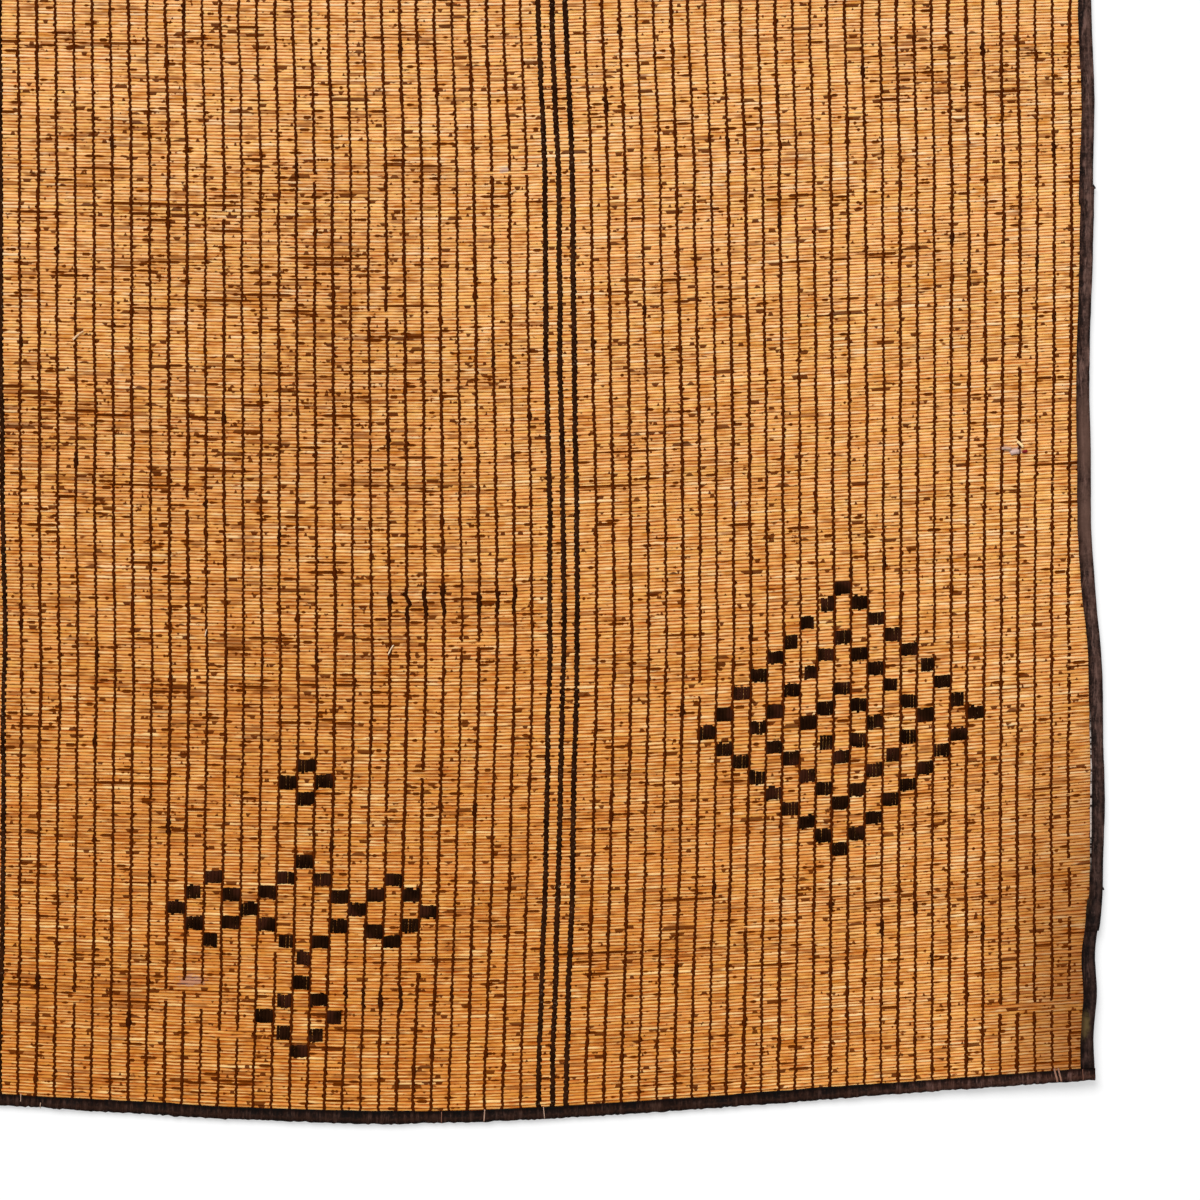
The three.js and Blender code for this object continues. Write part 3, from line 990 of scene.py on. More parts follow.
def stagger_at(reeds, lane):
    """How far each reed is pressed up or down, in millimetres."""
    return reeds.stagger / MM * np.where(lane % 2, -1, 1)


def lay_pinched(mesh, across, along, height):
    """Lays down a mesh, a little higher where the bindings hold it."""
    height = height + PINCH_LIFT * pinch_at(across, along)
    lay_mesh(mesh, np.stack([across, along, height], axis=-1))


def reed_tree():
    """Stems of unit length side by side, one metre long, each a tube that wavers a little."""
    tree, g, given = new_tree(
        "reeds", Int="Count First Rings Seed", Float="Pitch Radius Waver", Material="Material"
    )
    row = g.row(given["Count"], g.vector(0.0, given["Pitch"], 0.0))
    row = g.store(row, "lane", g.plus(g.make("GeometryNodeInputIndex"), given["First"]))
    stems = g.copies(row, g.line((-0.5, 0, 0), (0.5, 0, 0), given["Rings"]))
    lane, along = g.stored("lane"), g.make("GeometryNodeSplineParameter")
    stems = g.store(stems, "run", along)
    place = g.vector(g.times(along, 22.0), g.times(lane, 0.21), g.times(given["Seed"], 3.7))
    stray = g.add("ShaderNodeTexNoise", {"Vector": place, "Scale": 1.0, "Detail": 2.0}).outputs["Color"]
    stray = g.scaled(g.vector_math("SUBTRACT", stray, (0.5, 0.5, 0.5)), 0.0, 4.0, 1.0)
    stray = g.make("ShaderNodeVectorMath", {0: stray, "Scale": given["Waver"]}, operation="SCALE")
    ring = {"Resolution": REED_SIDES, "Radius": given["Radius"]}
    ring = g.make("GeometryNodeCurvePrimitiveCircle", ring, mode="RADIUS")
    girth = g.random(0.98, 1.03, given["Seed"], ID=lane)
    g.close(g.tube(g.moved(stems, stray), ring, Scale=girth), given["Material"])
    return tree


class MAT_OT_reeds(bpy.types.Operator):
    """Grows the reed stems and lays them side by side"""

    bl_idname = "mat.reeds"
    bl_label = "Reeds"

    def execute(self, context):
        settings = context.scene.reed_mat.reeds
        material = reed_material(settings)
        tree = reed_tree()
        half = REEDS // 2
        rows = (("reeds_near", 0, half, ["reed_field"]), ("reeds_far", half, REEDS - half, []))
        for name, first, count, replaces in rows:
            mesh = self.lay_row(tree, first, count, settings, material)
            piece = add_piece(name, mesh, replaces=replaces)
        bpy.data.node_groups.remove(tree)
        return {"FINISHED"}

    @staticmethod
    def lay_row(tree, first, count, settings, material):
        """One piece of the reed field: count stems from the first."""
        sizes = {"pitch": PITCH * MM, "radius": PITCH * MM / 2, "waver": settings.waver}
        counts = {"count": count, "first": first, "rings": settings.rings, "seed": settings.seed}
        mesh = grow(tree, material=material, **sizes, **counts)
        shape = (count, settings.rings, REED_SIDES)
        points = points_of(mesh).reshape(*shape, 3)
        lane = first + np.arange(count)
        middle = points.mean(axis=2, keepdims=True)
        girth = settings.thickness * REED_GIRTHS[lane] / PITCH
        points = middle + (points - middle) * girth[:, None, None, None] * (1, 1, settings.flatness)
        side = (points - middle)[..., 1]
        side = side / np.abs(side).max(axis=(1, 2), keepdims=True)
        rng = np.random.default_rng(settings.seed)
        along = REED_PLACES[lane][:, None, None] + points[..., 1] - (PITCH * np.arange(count))[:, None, None]
        ends = FIELD_SEAT + REED_SEAT + rng.uniform(0, REED_ENDS_VARY, (2, REEDS))[:, lane]
        left = edge_across("left", REED_PLACES[lane]) + ends[0]
        right = edge_across("right", REED_PLACES[lane]) - ends[1]
        t = points[..., 0] * MM + 0.5
        across = left[:, None, None] + t * (right - left)[:, None, None]
        height = points[..., 2] + settings.height / MM + stagger_at(settings, lane)[:, None, None]
        lay_pinched(mesh, across, along, height)
        # Each stem's tone is partly its own at random; every other stem, the one pressed up, is paler as a
        # painted highlight
        tone = (0.62 * rng.uniform(0, 1, REEDS) + np.where(np.arange(REEDS) % 2, 0.0, 0.38))[lane]
        around = np.arange(REED_SIDES) / REED_SIDES
        set_numbers(mesh, "tone", np.broadcast_to(tone[:, None, None], shape))
        set_numbers(mesh, "side", side)
        turn = np.broadcast_to(np.arange(count)[:, None, None] + around, shape)
        set_map(mesh, numbers(mesh, "run"), turn.ravel())
        return mesh


# ---------------------------------------------------------------- thongs


SPACE = 12.0  # between thongs as they are grown
MENDS = (
    # panel, first thong, last thong, place along, half length, extra width
    ("middle", 20, 20, -509, 7, 0.25),
    ("middle", 21, 23, -509, 12, 0.42),
    ("middle", 25, 27, -509, 11, 0.36),
    ("middle", 18, 21, -787, 9, 0.36),
)
# Where reeds pass over thongs instead of under them, on the settled mat, and how many do
FLOATS = table(
    "x_from x_to y reeds",
    (508, 575, -792, 2),
    (153, 180, -208, 1),
    (121, 146, -538, 1),
    (553, 568, -692, 2),
    (553, 568, -726, 2),
    (-144, -130, -786, 3),
    (-83, -68, -784, 3),
    (-68, -55, -779, 3),
    (-55, -43, -785, 7),
    (-43, -18, -812, 2),
    (98, 116, -629, 2),
    (-3, 10, -751, 3),
    (96, 110, -765, 3),
    (458, 471, -541, 3),
    (295, 308, -570, 3),
    (62, 88, -309, 2),
    (-66, -53, -441, 3),
    (62, 75, -393, 1),
)
# How far the heavy thongs stray from where they were first laid
HEAVY_DRIFT = table(
    "along left right",
    (-880, -1.2, 0.0),
    (-800, -1.4, 0.0),
    (-720, -0.1, 0.0),
    (-635, -1.4, 0.0),
    (-550, -0.8, 0.0),
    (-465, -1.8, 0.3),
    (-380, -2.4, 0.5),
    (-210, -2.2, 0.3),
    (0, 0.0, 0.0),
)
FLOAT_CHANCE = 0.0004
KNOT_CHANCE = 0.012
SPUR_CHANCE = 0.08
CLOTS = 2  # short thick stretches on each thin thong
THONG_WIDTHS = 0.88, 1.14  # narrowest and widest, as shares of the usual width
THONG_FOOT = 0.06  # lowest point of a thong above the floor
DIPPED = 0.9  # height of a thong, from its foot, under a reed that passes over it
# Sections of a thong, anticlockwise, as shares of its width and height
THIN_SECTION = ((-0.5, 0.5), (-0.5, -0.5), (0.5, -0.5), (0.5, 0.5))
HEAVY_SECTION = ((-0.5, 0.36), (-0.5, -0.36), (0.0, -0.5), (0.5, -0.36), (0.5, 0.36), (0.0, 0.5))


def thong_tree(section):
    """Straight thongs side by side with a ring on every reed, stepping from side to side as they go."""
    tree, g, given = new_tree(
        "thongs", Int="Count Reeds Seed", Float="Pitch Width Height Zigzag Waver", Material="Material"
    )
    row = g.row(given["Count"], g.vector(SPACE * MM, 0.0, 0.0))
    row = g.store(row, "thong", g.make("GeometryNodeInputIndex"))
    length = g.times(g.minus(given["Reeds"], 1.0), given["Pitch"])
    lines = g.copies(row, g.line((0, 0, 0), g.vector(0.0, length, 0.0), given["Reeds"]))
    thong, ring = g.stored("thong"), g.add("GeometryNodeSplineParameter").outputs["Index"]
    lines = g.store(lines, "reed", ring)
    parity = g.math("MODULO", g.plus(ring, thong), 2.0)
    swing = g.random(0.4, 1.5, given["Seed"])
    side = g.times(g.minus(g.times(parity, 2.0), 1.0), swing, given["Zigzag"])
    place = g.vector(g.times(ring, 0.035), g.times(thong, 5.7), given["Seed"])
    stray = g.minus(g.noise(place, detail=3.0), 0.5)
    side = g.plus(side, g.times(stray, given["Waver"], 4.0))
    lines = g.upright(g.moved(lines, g.vector(side, 0.0, 0.0)))
    points = g.make("GeometryNodeCurvePrimitiveCircle", {"Resolution": len(section), "Radius": 1.0})
    corner = g.make("GeometryNodeInputIndex")
    sideways, up = 0.0, 0.0
    for i, (a, b) in enumerate(section):
        here = g.math("COMPARE", corner, float(i), 0.1)
        sideways = g.times_plus(here, a, sideways)
        up = g.times_plus(here, b, up)
    outline = g.vector(g.times(sideways, given["Width"]), g.times(up, given["Height"]))
    points = g.make("GeometryNodeSetPosition", {"Geometry": points, "Position": outline})
    g.close(g.tube(lines, points), given["Material"])
    return tree


def roughen(wide, stray, thin, rng, seed):
    """Makes each thong's width and path uneven from reed to reed, with spurs and, on thin ones, knots."""
    rough = 1.0 if thin else 0.3
    for k in range(len(wide)):
        uneven = 0.1 * wander(np.arange(REEDS), 2.7, seed + 7 * k) + rng.uniform(-0.2, 0.2, REEDS)
        spurs = (rng.random(REEDS) < SPUR_CHANCE) * rng.choice([-1, 1], REEDS) * rough
        knots = (rng.random(REEDS) < KNOT_CHANCE) * (1.0 if thin else 0.0)
        wide[k] *= 1 + rough * uneven + 0.4 * np.abs(spurs) + 0.55 * knots + 0.3 * np.roll(knots, 1)
        stray[k] += 0.4 * spurs


def clot(wide, dye, rng):
    """Thickens and darkens a few short stretches of each thong."""
    for k, starts in enumerate(rng.integers(0, REEDS, (len(wide), CLOTS))):
        for start in starts:
            reach = slice(start, start + rng.integers(3, 6))
            wide[k, reach] *= 1.35
            dye[k, reach] = 0.6


def mend(wide, stray, dye, panel, rng, seed):
    """Thickens a panel's thongs where they have been mended."""
    for name, first, last, along, half, extra in MENDS:
        if name == panel:
            for k in range(first, last + 1):
                at = along + rng.uniform(-3, 3)
                bulge = np.clip(1 - ((REED_PLACES - at) / (half * rng.uniform(0.8, 1.2))) ** 2, 0, 1)
                wide[k] *= 1 + extra * np.sqrt(bulge)
                stray[k] += 1.4 * bulge * wander(REED_PLACES, 6, seed + 90 + k)
                dye[k] = np.maximum(dye[k], np.minimum(0.75, 2.0 * bulge))


def reeds_over(places, stray, thin, rng):
    """True for each thong and reed where the reed passes over the thong."""
    over = rng.random(stray.shape) < (FLOAT_CHANCE if thin else 0)
    over |= np.roll(over, 1, axis=1) & (rng.random(stray.shape) < 0.5)
    for start, end, y, count in rows_of(FLOATS):
        near = np.argsort(np.abs(REED_PLACES - flat_place((start + end) / 2, y)[1]))[: int(count)]
        lines = places + stray[:, near[0]]
        inside = (lines > flat_place(start, y)[0]) & (lines < flat_place(end, y)[0])
        over[np.ix_(inside, near)] = True
    return over


def lay_thongs(places, panel, mat, material, seed, thin):
    """Grows thongs and lays them at the given places across the mat, over and under every reed."""
    section = THIN_SECTION if thin else HEAVY_SECTION
    settings, reeds = mat.thongs, mat.reeds
    width = settings.width if thin else settings.heavy_width
    places = np.asarray(places)
    top = (reeds.height + settings.proud) / MM + PITCH / 2 * reeds.flatness
    tree = thong_tree(section)
    sizes = {"pitch": PITCH * MM, "width": width, "height": (top - THONG_FOOT) * MM}
    strays = {"zigzag": settings.zigzag, "waver": settings.waver, "seed": seed}
    mesh = grow(tree, count=len(places), reeds=REEDS, material=material, **sizes, **strays)
    bpy.data.node_groups.remove(tree)
    shape = (len(places), REEDS, len(section))
    points = points_of(mesh).reshape(*shape, 3)
    middle = points.mean(axis=2, keepdims=True)
    offset = points - middle
    rng = np.random.default_rng(seed)
    wide = rng.uniform(*THONG_WIDTHS, len(places))[:, None] * np.ones(REEDS)
    stray = middle[:, :, 0, 0] - SPACE * np.arange(len(places))[:, None]
    dye = np.zeros((len(places), REEDS))
    roughen(wide, stray, thin, rng, seed)
    if thin:
        clot(wide, dye, rng)
    mend(wide, stray, dye, panel, rng, seed)
    if thin:
        stray += [drift_at(place, REED_PLACES) for place in places]
    else:
        stray += np.interp(REED_PLACES, HEAVY_DRIFT["along"], HEAVY_DRIFT[panel])
    across = places[:, None, None] + stray[:, :, None] + offset[..., 0] * wide[:, :, None]
    along = np.broadcast_to(REED_PLACES[None, :, None], shape) + offset[..., 1]
    stagger = stagger_at(reeds, np.arange(REEDS))[None, :, None]
    height = offset[..., 2] + (THONG_FOOT + top) / 2 + stagger
    dipped = reeds_over(places, stray, thin, rng)[:, :, None] & (offset[..., 2] > 0)
    lay_pinched(mesh, across, along, np.where(dipped, THONG_FOOT + DIPPED, height))
    set_numbers(mesh, "dye", np.broadcast_to(np.clip(dye, 0, 1)[:, :, None], shape))
    map_thongs(mesh, shape, folds=6 if thin else 24)
    return mesh


def map_thongs(mesh, shape, folds):
    """Maps thongs side by side, each cut into a few lengths, so that none is much longer than wide."""
    count, rings, around = shape
    run = np.broadcast_to(np.arange(rings)[None, :, None] * folds / rings, shape)
    lane = (np.arange(count) * folds)[:, None, None] + np.arange(around) / around
    set_map(mesh, (run % 1.0).ravel(), (np.broadcast_to(lane, shape) + np.floor(run)).ravel())


class MAT_OT_thin_thongs(bpy.types.Operator):
    """Binds the reeds of the three panels with thin thongs"""

    bl_idname = "mat.thin_thongs"
    bl_label = "Thin thongs"

    def execute(self, context):
        mat = context.scene.reed_mat
        material = leather_material(
            "thong_leather", mat.thongs.colour, grain=700.0, wear=0.5, shine=0.01, roughness=0.65, even=1.0
        )
        for i, panel in enumerate(("left", "middle", "right")):
            mesh = lay_thongs(place_thongs(panel), panel, mat, material, mat.thongs.seed + i, thin=True)
            add_piece(f"thongs_{panel}", mesh)
        return {"FINISHED"}


class MAT_OT_heavy_thongs(bpy.types.Operator):
    """Parts the panels with two rows of three heavy thongs"""

    bl_idname = "mat.heavy_thongs"
    bl_label = "Heavy thongs"

    def execute(self, context):
        mat = context.scene.reed_mat
        colour = mat.thongs.heavy_colour
        material = leather_material(
            "heavy_thong_leather", colour, grain=700.0, wear=0.25, shine=0.01, flecks=0.6, dust=0.003
        )
        for side, sign in (("left", -1), ("right", 1)):
            places = [sign * (TRIPLE_INNER + k * TRIPLE_STEP) for k in range(3)]
            mesh = lay_thongs(places, side, mat, material, mat.thongs.seed + 50 + sign, thin=False)
            nodes = [f"thong_{side}_{name}" for name in ("inner", "middle", "outer")]
            add_piece(f"heavy_thongs_{side}", mesh, replaces=nodes)
        return {"FINISHED"}


# ---------------------------------------------------------------- motifs


STRIP_RINGS = 7
STRIP_SHARE = 0.98  # width of a strip, as a share of its space
STRIP_TUCK = 0.9  # how many reeds' width longer it is than the reeds that it covers
STRIP_FALL = 1.5  # from its top to its ends
STRIP_PROUD = 0.35  # middle of a strip above the reeds
STRIP_MARGIN = 0.25  # from a thong to the first strip beside it
STRIP_SHIFTS = 0.12, 0.4, 0.15  # how far a strip may lie off its place sideways, along and up
MISSING_STAYS = 0.3  # chance that a strip is there after all, where one was to be missing


def diamond_chart():
    """Squares of three diamonds, one in another, as (spaces right, rows up) from their middle."""
    span = range(-8, 9)
    return [(c, r) for c in span for r in span if abs(c) + abs(r) in (2, 5, 8)]


def lozenge(column, row, radius, rise=1.0):
    """Squares of one small diamond outline. rise is how much further its rows are apart than usual."""
    steps = range(-radius, radius + 1)
    return [(column + c, row + r * rise) for c in steps for r in steps if abs(c) + abs(r) == radius]


def cross_chart():
    """Squares of five small diamonds set as a cross: three in a row, one above and one below. Neighbours
    in the row share a square, and one square of the right one has slipped."""
    squares = lozenge(0, 0.0, 3, 1.02)
    squares += [(c, r) for c, r in lozenge(-5, 0.0, 2, 1.05) if c != -3]
    squares += [(c, r - 0.45 * (c == 4 and r < 0)) for c, r in lozenge(5, 0.0, 2, 1.04) if c != 3]
    squares += lozenge(0, -6.67, 2, 1.03) + lozenge(0, 8.22, 1, 0.93)
    return squares


# piece, panel, space of the middle column, place along of the middle row, chart
MOTIFS = (
    ("diamond_strips", "right", 15, -604.5, diamond_chart),
    ("cross_strips", "middle", 16, -726.0, cross_chart),
)


def strip_tree():
    """A short strip of leather on every point, arched over the reeds, with both ends tucked down."""
    tree, g, given = new_tree("motif_strips", Float="Width Length Fall", Int="Seed", Material="Material")
    half = g.times(given["Length"], 0.5)
    start, end = g.vector(0.0, g.times(half, -1.0), 0.0), g.vector(0.0, half, 0.0)
    line = g.line(start, end, STRIP_RINGS)
    share = g.make("GeometryNodeSplineParameter")
    away = g.math("ABSOLUTE", g.minus(g.times(share, 2.0), 1.0))
    fall = g.times(g.math("POWER", away, 5.0), g.times(given["Fall"], -1.0))
    line = g.upright(g.moved(line, g.vector(0.0, 0.0, fall)))
    outline = {"Width": given["Width"], "Height": g.times(given["Width"], 0.35)}
    outline = g.make("GeometryNodeCurvePrimitiveQuadrilateral", outline, mode="RECTANGLE")
    size = g.random((0.82, 0.93, 0.9), (1.12, 1.04, 1.2), given["Seed"])
    turn = g.random((-0.06, -0.12, -0.03), (0.06, 0.12, 0.03), given["Seed"])
    points = g.make("GeometryNodeMeshToPoints", {"Mesh": given["Geometry"]})
    laid = {"Points": points, "Instance": g.tube(line, outline), "Rotation": turn, "Scale": size}
    g.close(g.make("GeometryNodeInstanceOnPoints", laid), given["Material"])
    return tree


def panel_lines(panel):
    """The thongs on either side of a panel's spaces, from left to right."""
    if panel == "middle":
        return [-TRIPLE_INNER, *place_thongs(panel), TRIPLE_INNER]
    return [TRIPLE_OUTER, *place_thongs(panel), HALF_WIDTH]


def strip_places(squares, lines, middle, top, settings, rng):
    """The middle of every strip of a motif whose middle square is on the reed of that number, and how
    far apart the strips of the last square are."""
    places = []
    sideways, lengthways, up = STRIP_SHIFTS
    for c, r in squares:
        reed = middle + settings.reeds_step * r + rng.choice([-0.5, 0, 0, 0, 0, 0.5])
        y = np.interp(reed, np.arange(REEDS), REED_PLACES)
        low, high = (line + float(drift_at(line, y)) for line in lines[c : c + 2])
        step = (high - low - 2 * STRIP_MARGIN) / settings.strips
        missing = rng.choice([-1, -1, -1, -1, -1, -1, 0, settings.strips - 1])
        for k in range(settings.strips):
            if k != missing or rng.random() < MISSING_STAYS:
                x = low + STRIP_MARGIN + step * (k + 0.5) + rng.uniform(-sideways, sideways)
                along = y + rng.uniform(-lengthways, lengthways)
                places.append((x, along, top + rng.uniform(0, up)))
    return places, step


class MAT_OT_motifs(bpy.types.Operator):
    """Weaves in the dark squares of the two motifs"""

    bl_idname = "mat.motifs"
    bl_label = "Motifs"

    def execute(self, context):
        mat = context.scene.reed_mat
        settings = mat.motifs
        material = leather_material(
            "black_leather", settings.colour, grain=500.0, wear=0.35, shine=0.006, ruddy=0.7
        )
        rng = np.random.default_rng(settings.seed)
        top = mat.reeds.height / MM + PITCH / 2 * mat.reeds.flatness + STRIP_PROUD
        tree = strip_tree()
        length = (settings.reeds_over + STRIP_TUCK) * PITCH
        for name, panel, column, along, chart in MOTIFS:
            squares = [(column + c, r) for c, r in chart()]
            middle = np.argmin(np.abs(REED_PLACES - along))
            places, step = strip_places(squares, panel_lines(panel), middle, top, settings, rng)
            base = bpy.data.meshes.new("places")
            base.from_pydata([[v * MM for v in p] for p in places], [], [])
            sizes = {"width": step * STRIP_SHARE * MM, "length": length * MM, "fall": STRIP_FALL * MM}
            mesh = grow(tree, base, seed=settings.seed, material=material, **sizes)
            flat = points_of(mesh)
            lay_mesh(mesh, flat)
            corner = np.arange(len(flat))
            ring = corner % (4 * STRIP_RINGS) // 4
            set_map(mesh, ring / (STRIP_RINGS - 1), corner // (4 * STRIP_RINGS) + corner % 4 / 4)
            add_piece(name, mesh)
        bpy.data.node_groups.remove(tree)
        return {"FINISHED"}


# ---------------------------------------------------------------- bindings


FIELD_TOP = 3.3  # top of the pinched reeds, under a binding's upper face
FOLD_VARIES, INNER_VARIES, FACE_VARIES = 0.35, 0.5, 0.28  # unevenness of the fold, inner edge and top
OUT_AND_UP = 0.8  # how much higher a strip lies for each millimetre that it stands further out


def binding_section(width, ridge):
    """Middle line of the folded leather as (inset, height), from its lower inner edge round the fold to
    its upper one, with the roll that the fold makes."""
    half = LEATHER / 2
    top, face = ridge - half, FIELD_TOP + half
    lower = [(width, half), (width - 3, half), (2.4, half), (1.1, half + 0.2)]
    fold = [(half, 1.5), (half, 2.9), (0.9, top - 0.7), (1.9, top - 0.15)]
    roll = [(3.1, top), (4.4, top - 0.25), (5.7, top - 0.7)]
    upper = [(7.2, face + 0.15), (width - 0.8, face), (width, face)]
    return np.array(lower + fold + roll + upper)


def both_faces(line, thick):
    """A closed loop of points at half the thickness on either side of a line."""
    run = np.gradient(line, axis=0)
    normal = np.stack([-run[:, 1], run[:, 0]], axis=1)
    normal *= thick / 2 / np.linalg.norm(normal, axis=1, keepdims=True)
    return np.concatenate([line + normal, (line - normal)[::-1]])


def swept(loops, flip):
    """Points and faces of a closed strip through the given loops, with capped ends."""
    count, around = loops.shape[:2]
    faces = []
    for j in range(count - 1):
        a, b = j * around, (j + 1) * around
        for i in range(around):
            n = (i + 1) % around
            faces.append((a + i, a + n, b + n, b + i))
    for j, turned in ((0, True), (count - 1, False)):
        for i in range(around // 2 - 1):
            quad = tuple(j * around + k for k in (i, i + 1, around - 2 - i, around - 1 - i))
            faces.append(quad[::-1] if turned else quad)
    if flip:
        faces = [f[::-1] for f in faces]
    return loops.reshape(-1, 3), faces


def join_shells(shells):
    """The points and faces of several shells as one."""
    points, faces = [], []
    base = 0
    for shell_points, shell_faces in shells:
        faces += [tuple(base + i for i in f) for f in shell_faces]
        points.append(shell_points)
        base += len(shell_points)
    return np.concatenate(points), faces


# How the side and end strips differ, in millimetres: their width, how ragged and how hairy the fold is,
# and how far apart their sections are
SIDE_STRIP = {"width": SIDE_BINDING, "ragged": 0.12, "step": 5.0, "hairy": 0.0}
END_STRIP = {"width": END_BINDING, "ragged": 0.2, "step": 2.0, "hairy": 0.5}


def folded_strip(edge, start, end, out, ridge, seed, width, ragged, step, hairy):
    """Flat points and faces of one folded strip along an edge of the mat, from start to end. out is how
    far it stands out past the edge's usual place."""
    loops = []
    for at in np.linspace(start, end, max(2, int(abs(end - start) / step))):
        section = binding_section(width, ridge)
        upper = section[:, 1] > 2
        fold = FOLD_VARIES * wander(at, 42, seed) + ragged * wander(at, 5, seed + 1)
        fold = fold + hairy * wander(at, 1.1, seed + 7)
        inner = INNER_VARIES * wander(at, 38, seed + 2) + 0.25 * wander(at, 7, seed + 3)
        section[:, 0] -= fold * np.clip(1 - section[:, 0] / width, 0, 1) + out
        section[upper, 0] += inner * np.clip(section[upper, 0] / width, 0, 1) ** 3
        section[upper, 1] += FACE_VARIES * wander(at + 3 * section[upper, 0], 23, seed + 4)
        section[upper, 1] += out * OUT_AND_UP
        inset, height = both_faces(section, LEATHER).T
        here = np.full(len(inset), at)
        if edge in ("left", "right"):
            sign = -1 if edge == "right" else 1
            across, along = edge_across(edge, here) + sign * inset, here
        else:
            sign = 1 if edge == "near" else -1
            across, along = here, -sign * HALF_LENGTH + sign * inset
        loops.append(np.stack([across, along, np.maximum(height, 0.0)], axis=1))
    return swept(np.array(loops), (edge in ("left", "far")) != (end < start))


def edge_strips():
    """Each edge's strips as (from, to, how far out it stands)."""
    reach = HALF_LENGTH - END_BINDING - 0.2
    near = [float(edge_across(side, -HALF_LENGTH)) for side in ("left", "right")]
    far = [float(edge_across(side, HALF_LENGTH)) for side in ("left", "right")]
    return {
        "right": ((-reach, -744, 0.0), (-766, -238, 0.9), (-250, 420, 0.0), (410, reach, 0.5)),
        "left": ((-reach, -330, 0.4), (-345, 350, 0.0), (335, reach, 0.6)),
        "near": ((near[0], -262, 0.5), (-274, near[1], 0.0)),
        "far": ((far[0], 120, 0.0), (108, far[1], 0.5)),
    }


class MAT_OT_bindings(bpy.types.Operator):
    """Folds leather over the four edges"""

    bl_idname = "mat.bindings"
    bl_label = "Bindings"

    def execute(self, context):
        settings = context.scene.reed_mat.bindings
        leathers = {
            "side_leather": side_material(settings.side_colour),
            "end_leather": end_material(settings.end_colour),
        }
        ridge = settings.ridge / MM
        for k, (edge, strips) in enumerate(edge_strips().items()):
            at_side = edge in ("left", "right")
            slot, strip = ("side_leather", SIDE_STRIP) if at_side else ("end_leather", END_STRIP)
            seed = settings.seed + 20 * k
            shells = [folded_strip(edge, *ends, ridge, seed + n, **strip) for n, ends in enumerate(strips)]
            points, faces = join_shells(shells)
            mesh = mesh_of(f"binding_{edge}", points, faces)
            line = binding_section(strip["width"], ridge)
            inset = both_faces(line, LEATHER)[:, 0]
            set_numbers(mesh, "inset", np.tile(inset, len(points) // len(inset)))
            mesh.shade_smooth()
            piece = add_piece(f"bound_{edge}", mesh, leathers[slot], replaces=[f"binding_{edge}"])
        return {"FINISHED"}


# ---------------------------------------------------------------- threads


# Stitches over the near binding: where they cross it on the settled mat, how far they lean, their width,
# from and to which inset they run, and how pale they are
STITCHES = table(
    "x lean width start end pale",
    (-175.4, 0.00, 0.5, 4.5, 10.0, 0.5),
    (-161.4, 0.10, 0.5, -0.3, 4.5, 0.45),
    (119.0, 0.00, 0.5, -0.3, 8.5, 0.0),
    (149.0, 0.05, 0.8, -0.3, 9.3, 0.3),
    (190.8, -0.12, 0.55, -0.3, 9.3, 0.5),
    (548.6, -0.22, 1.2, -0.3, 10.8, 0.1),
    (551.3, -0.22, 1.1, -0.3, 10.8, 0.1),
    (567.0, -0.05, 0.35, -0.3, 9.0, 0.0),
)
# Bits of straw, wax and fibre lying on the mat: middle, length, turn in degrees, width and colour
SCRAPS = table(
    "x y length turn width red green blue",
    (-135.5, -322.5, 9.5, 38, 0.8, 0.95, 0.60, 0.33),
    (-136.8, -324.0, 6.0, 44, 0.6, 1.00, 0.72, 0.45),
    (83.5, -543.0, 8.0, 62, 0.8, 0.95, 0.70, 0.45),
    (-46.0, -531.0, 5.0, 78, 0.6, 1.00, 0.75, 0.50),
    (169.0, -222.0, 4.5, 30, 0.6, 1.00, 0.70, 0.40),
    (524.4, -399.0, 6.2, -46, 1.8, 1.00, 0.72, 0.36),
    (520.6, -404.6, 6.3, 6, 3.0, 0.64, 0.44, 0.38),
    (514.6, -402.0, 6.5, -6, 1.8, 0.55, 0.35, 0.26),
    (527.4, -403.9, 3.6, 8, 2.0, 0.24, 0.012, 0.012),
)
# Burrs that stand out of the right edge
BURRS = table(
    "x y length turn width",
    (575.9, -218.6, 3.4, -60, 1.3),
    (582.0, -709.8, 2.6, -65, 1.0),
)
DARK_THREAD = (0.26, 0.11, 0.07)
STITCH_LIFT = 0.25  # middle of a stitch over the leather
STITCH_THICK, SCRAP_THICK = 0.35, 0.4
SCRAP_PROUD = 1.2  # over the thongs
BURR_HEIGHT = 3.0  # above the floor


def ribbon(path, width, thick):
    """Points and faces of a flat band along a path of (across, along, height)."""
    path = np.asarray(path, float)
    run = np.gradient(path[:, :2], axis=0)
    run /= np.linalg.norm(run, axis=1, keepdims=True)
    side = np.column_stack([run[:, 1], -run[:, 0], np.zeros(len(run))]) * width / 2
    up = np.array((0.0, 0.0, thick / 2))
    loops = np.stack([path - side - up, path + side - up, path + side + up, path - side + up], axis=1)
    return swept(loops, True)


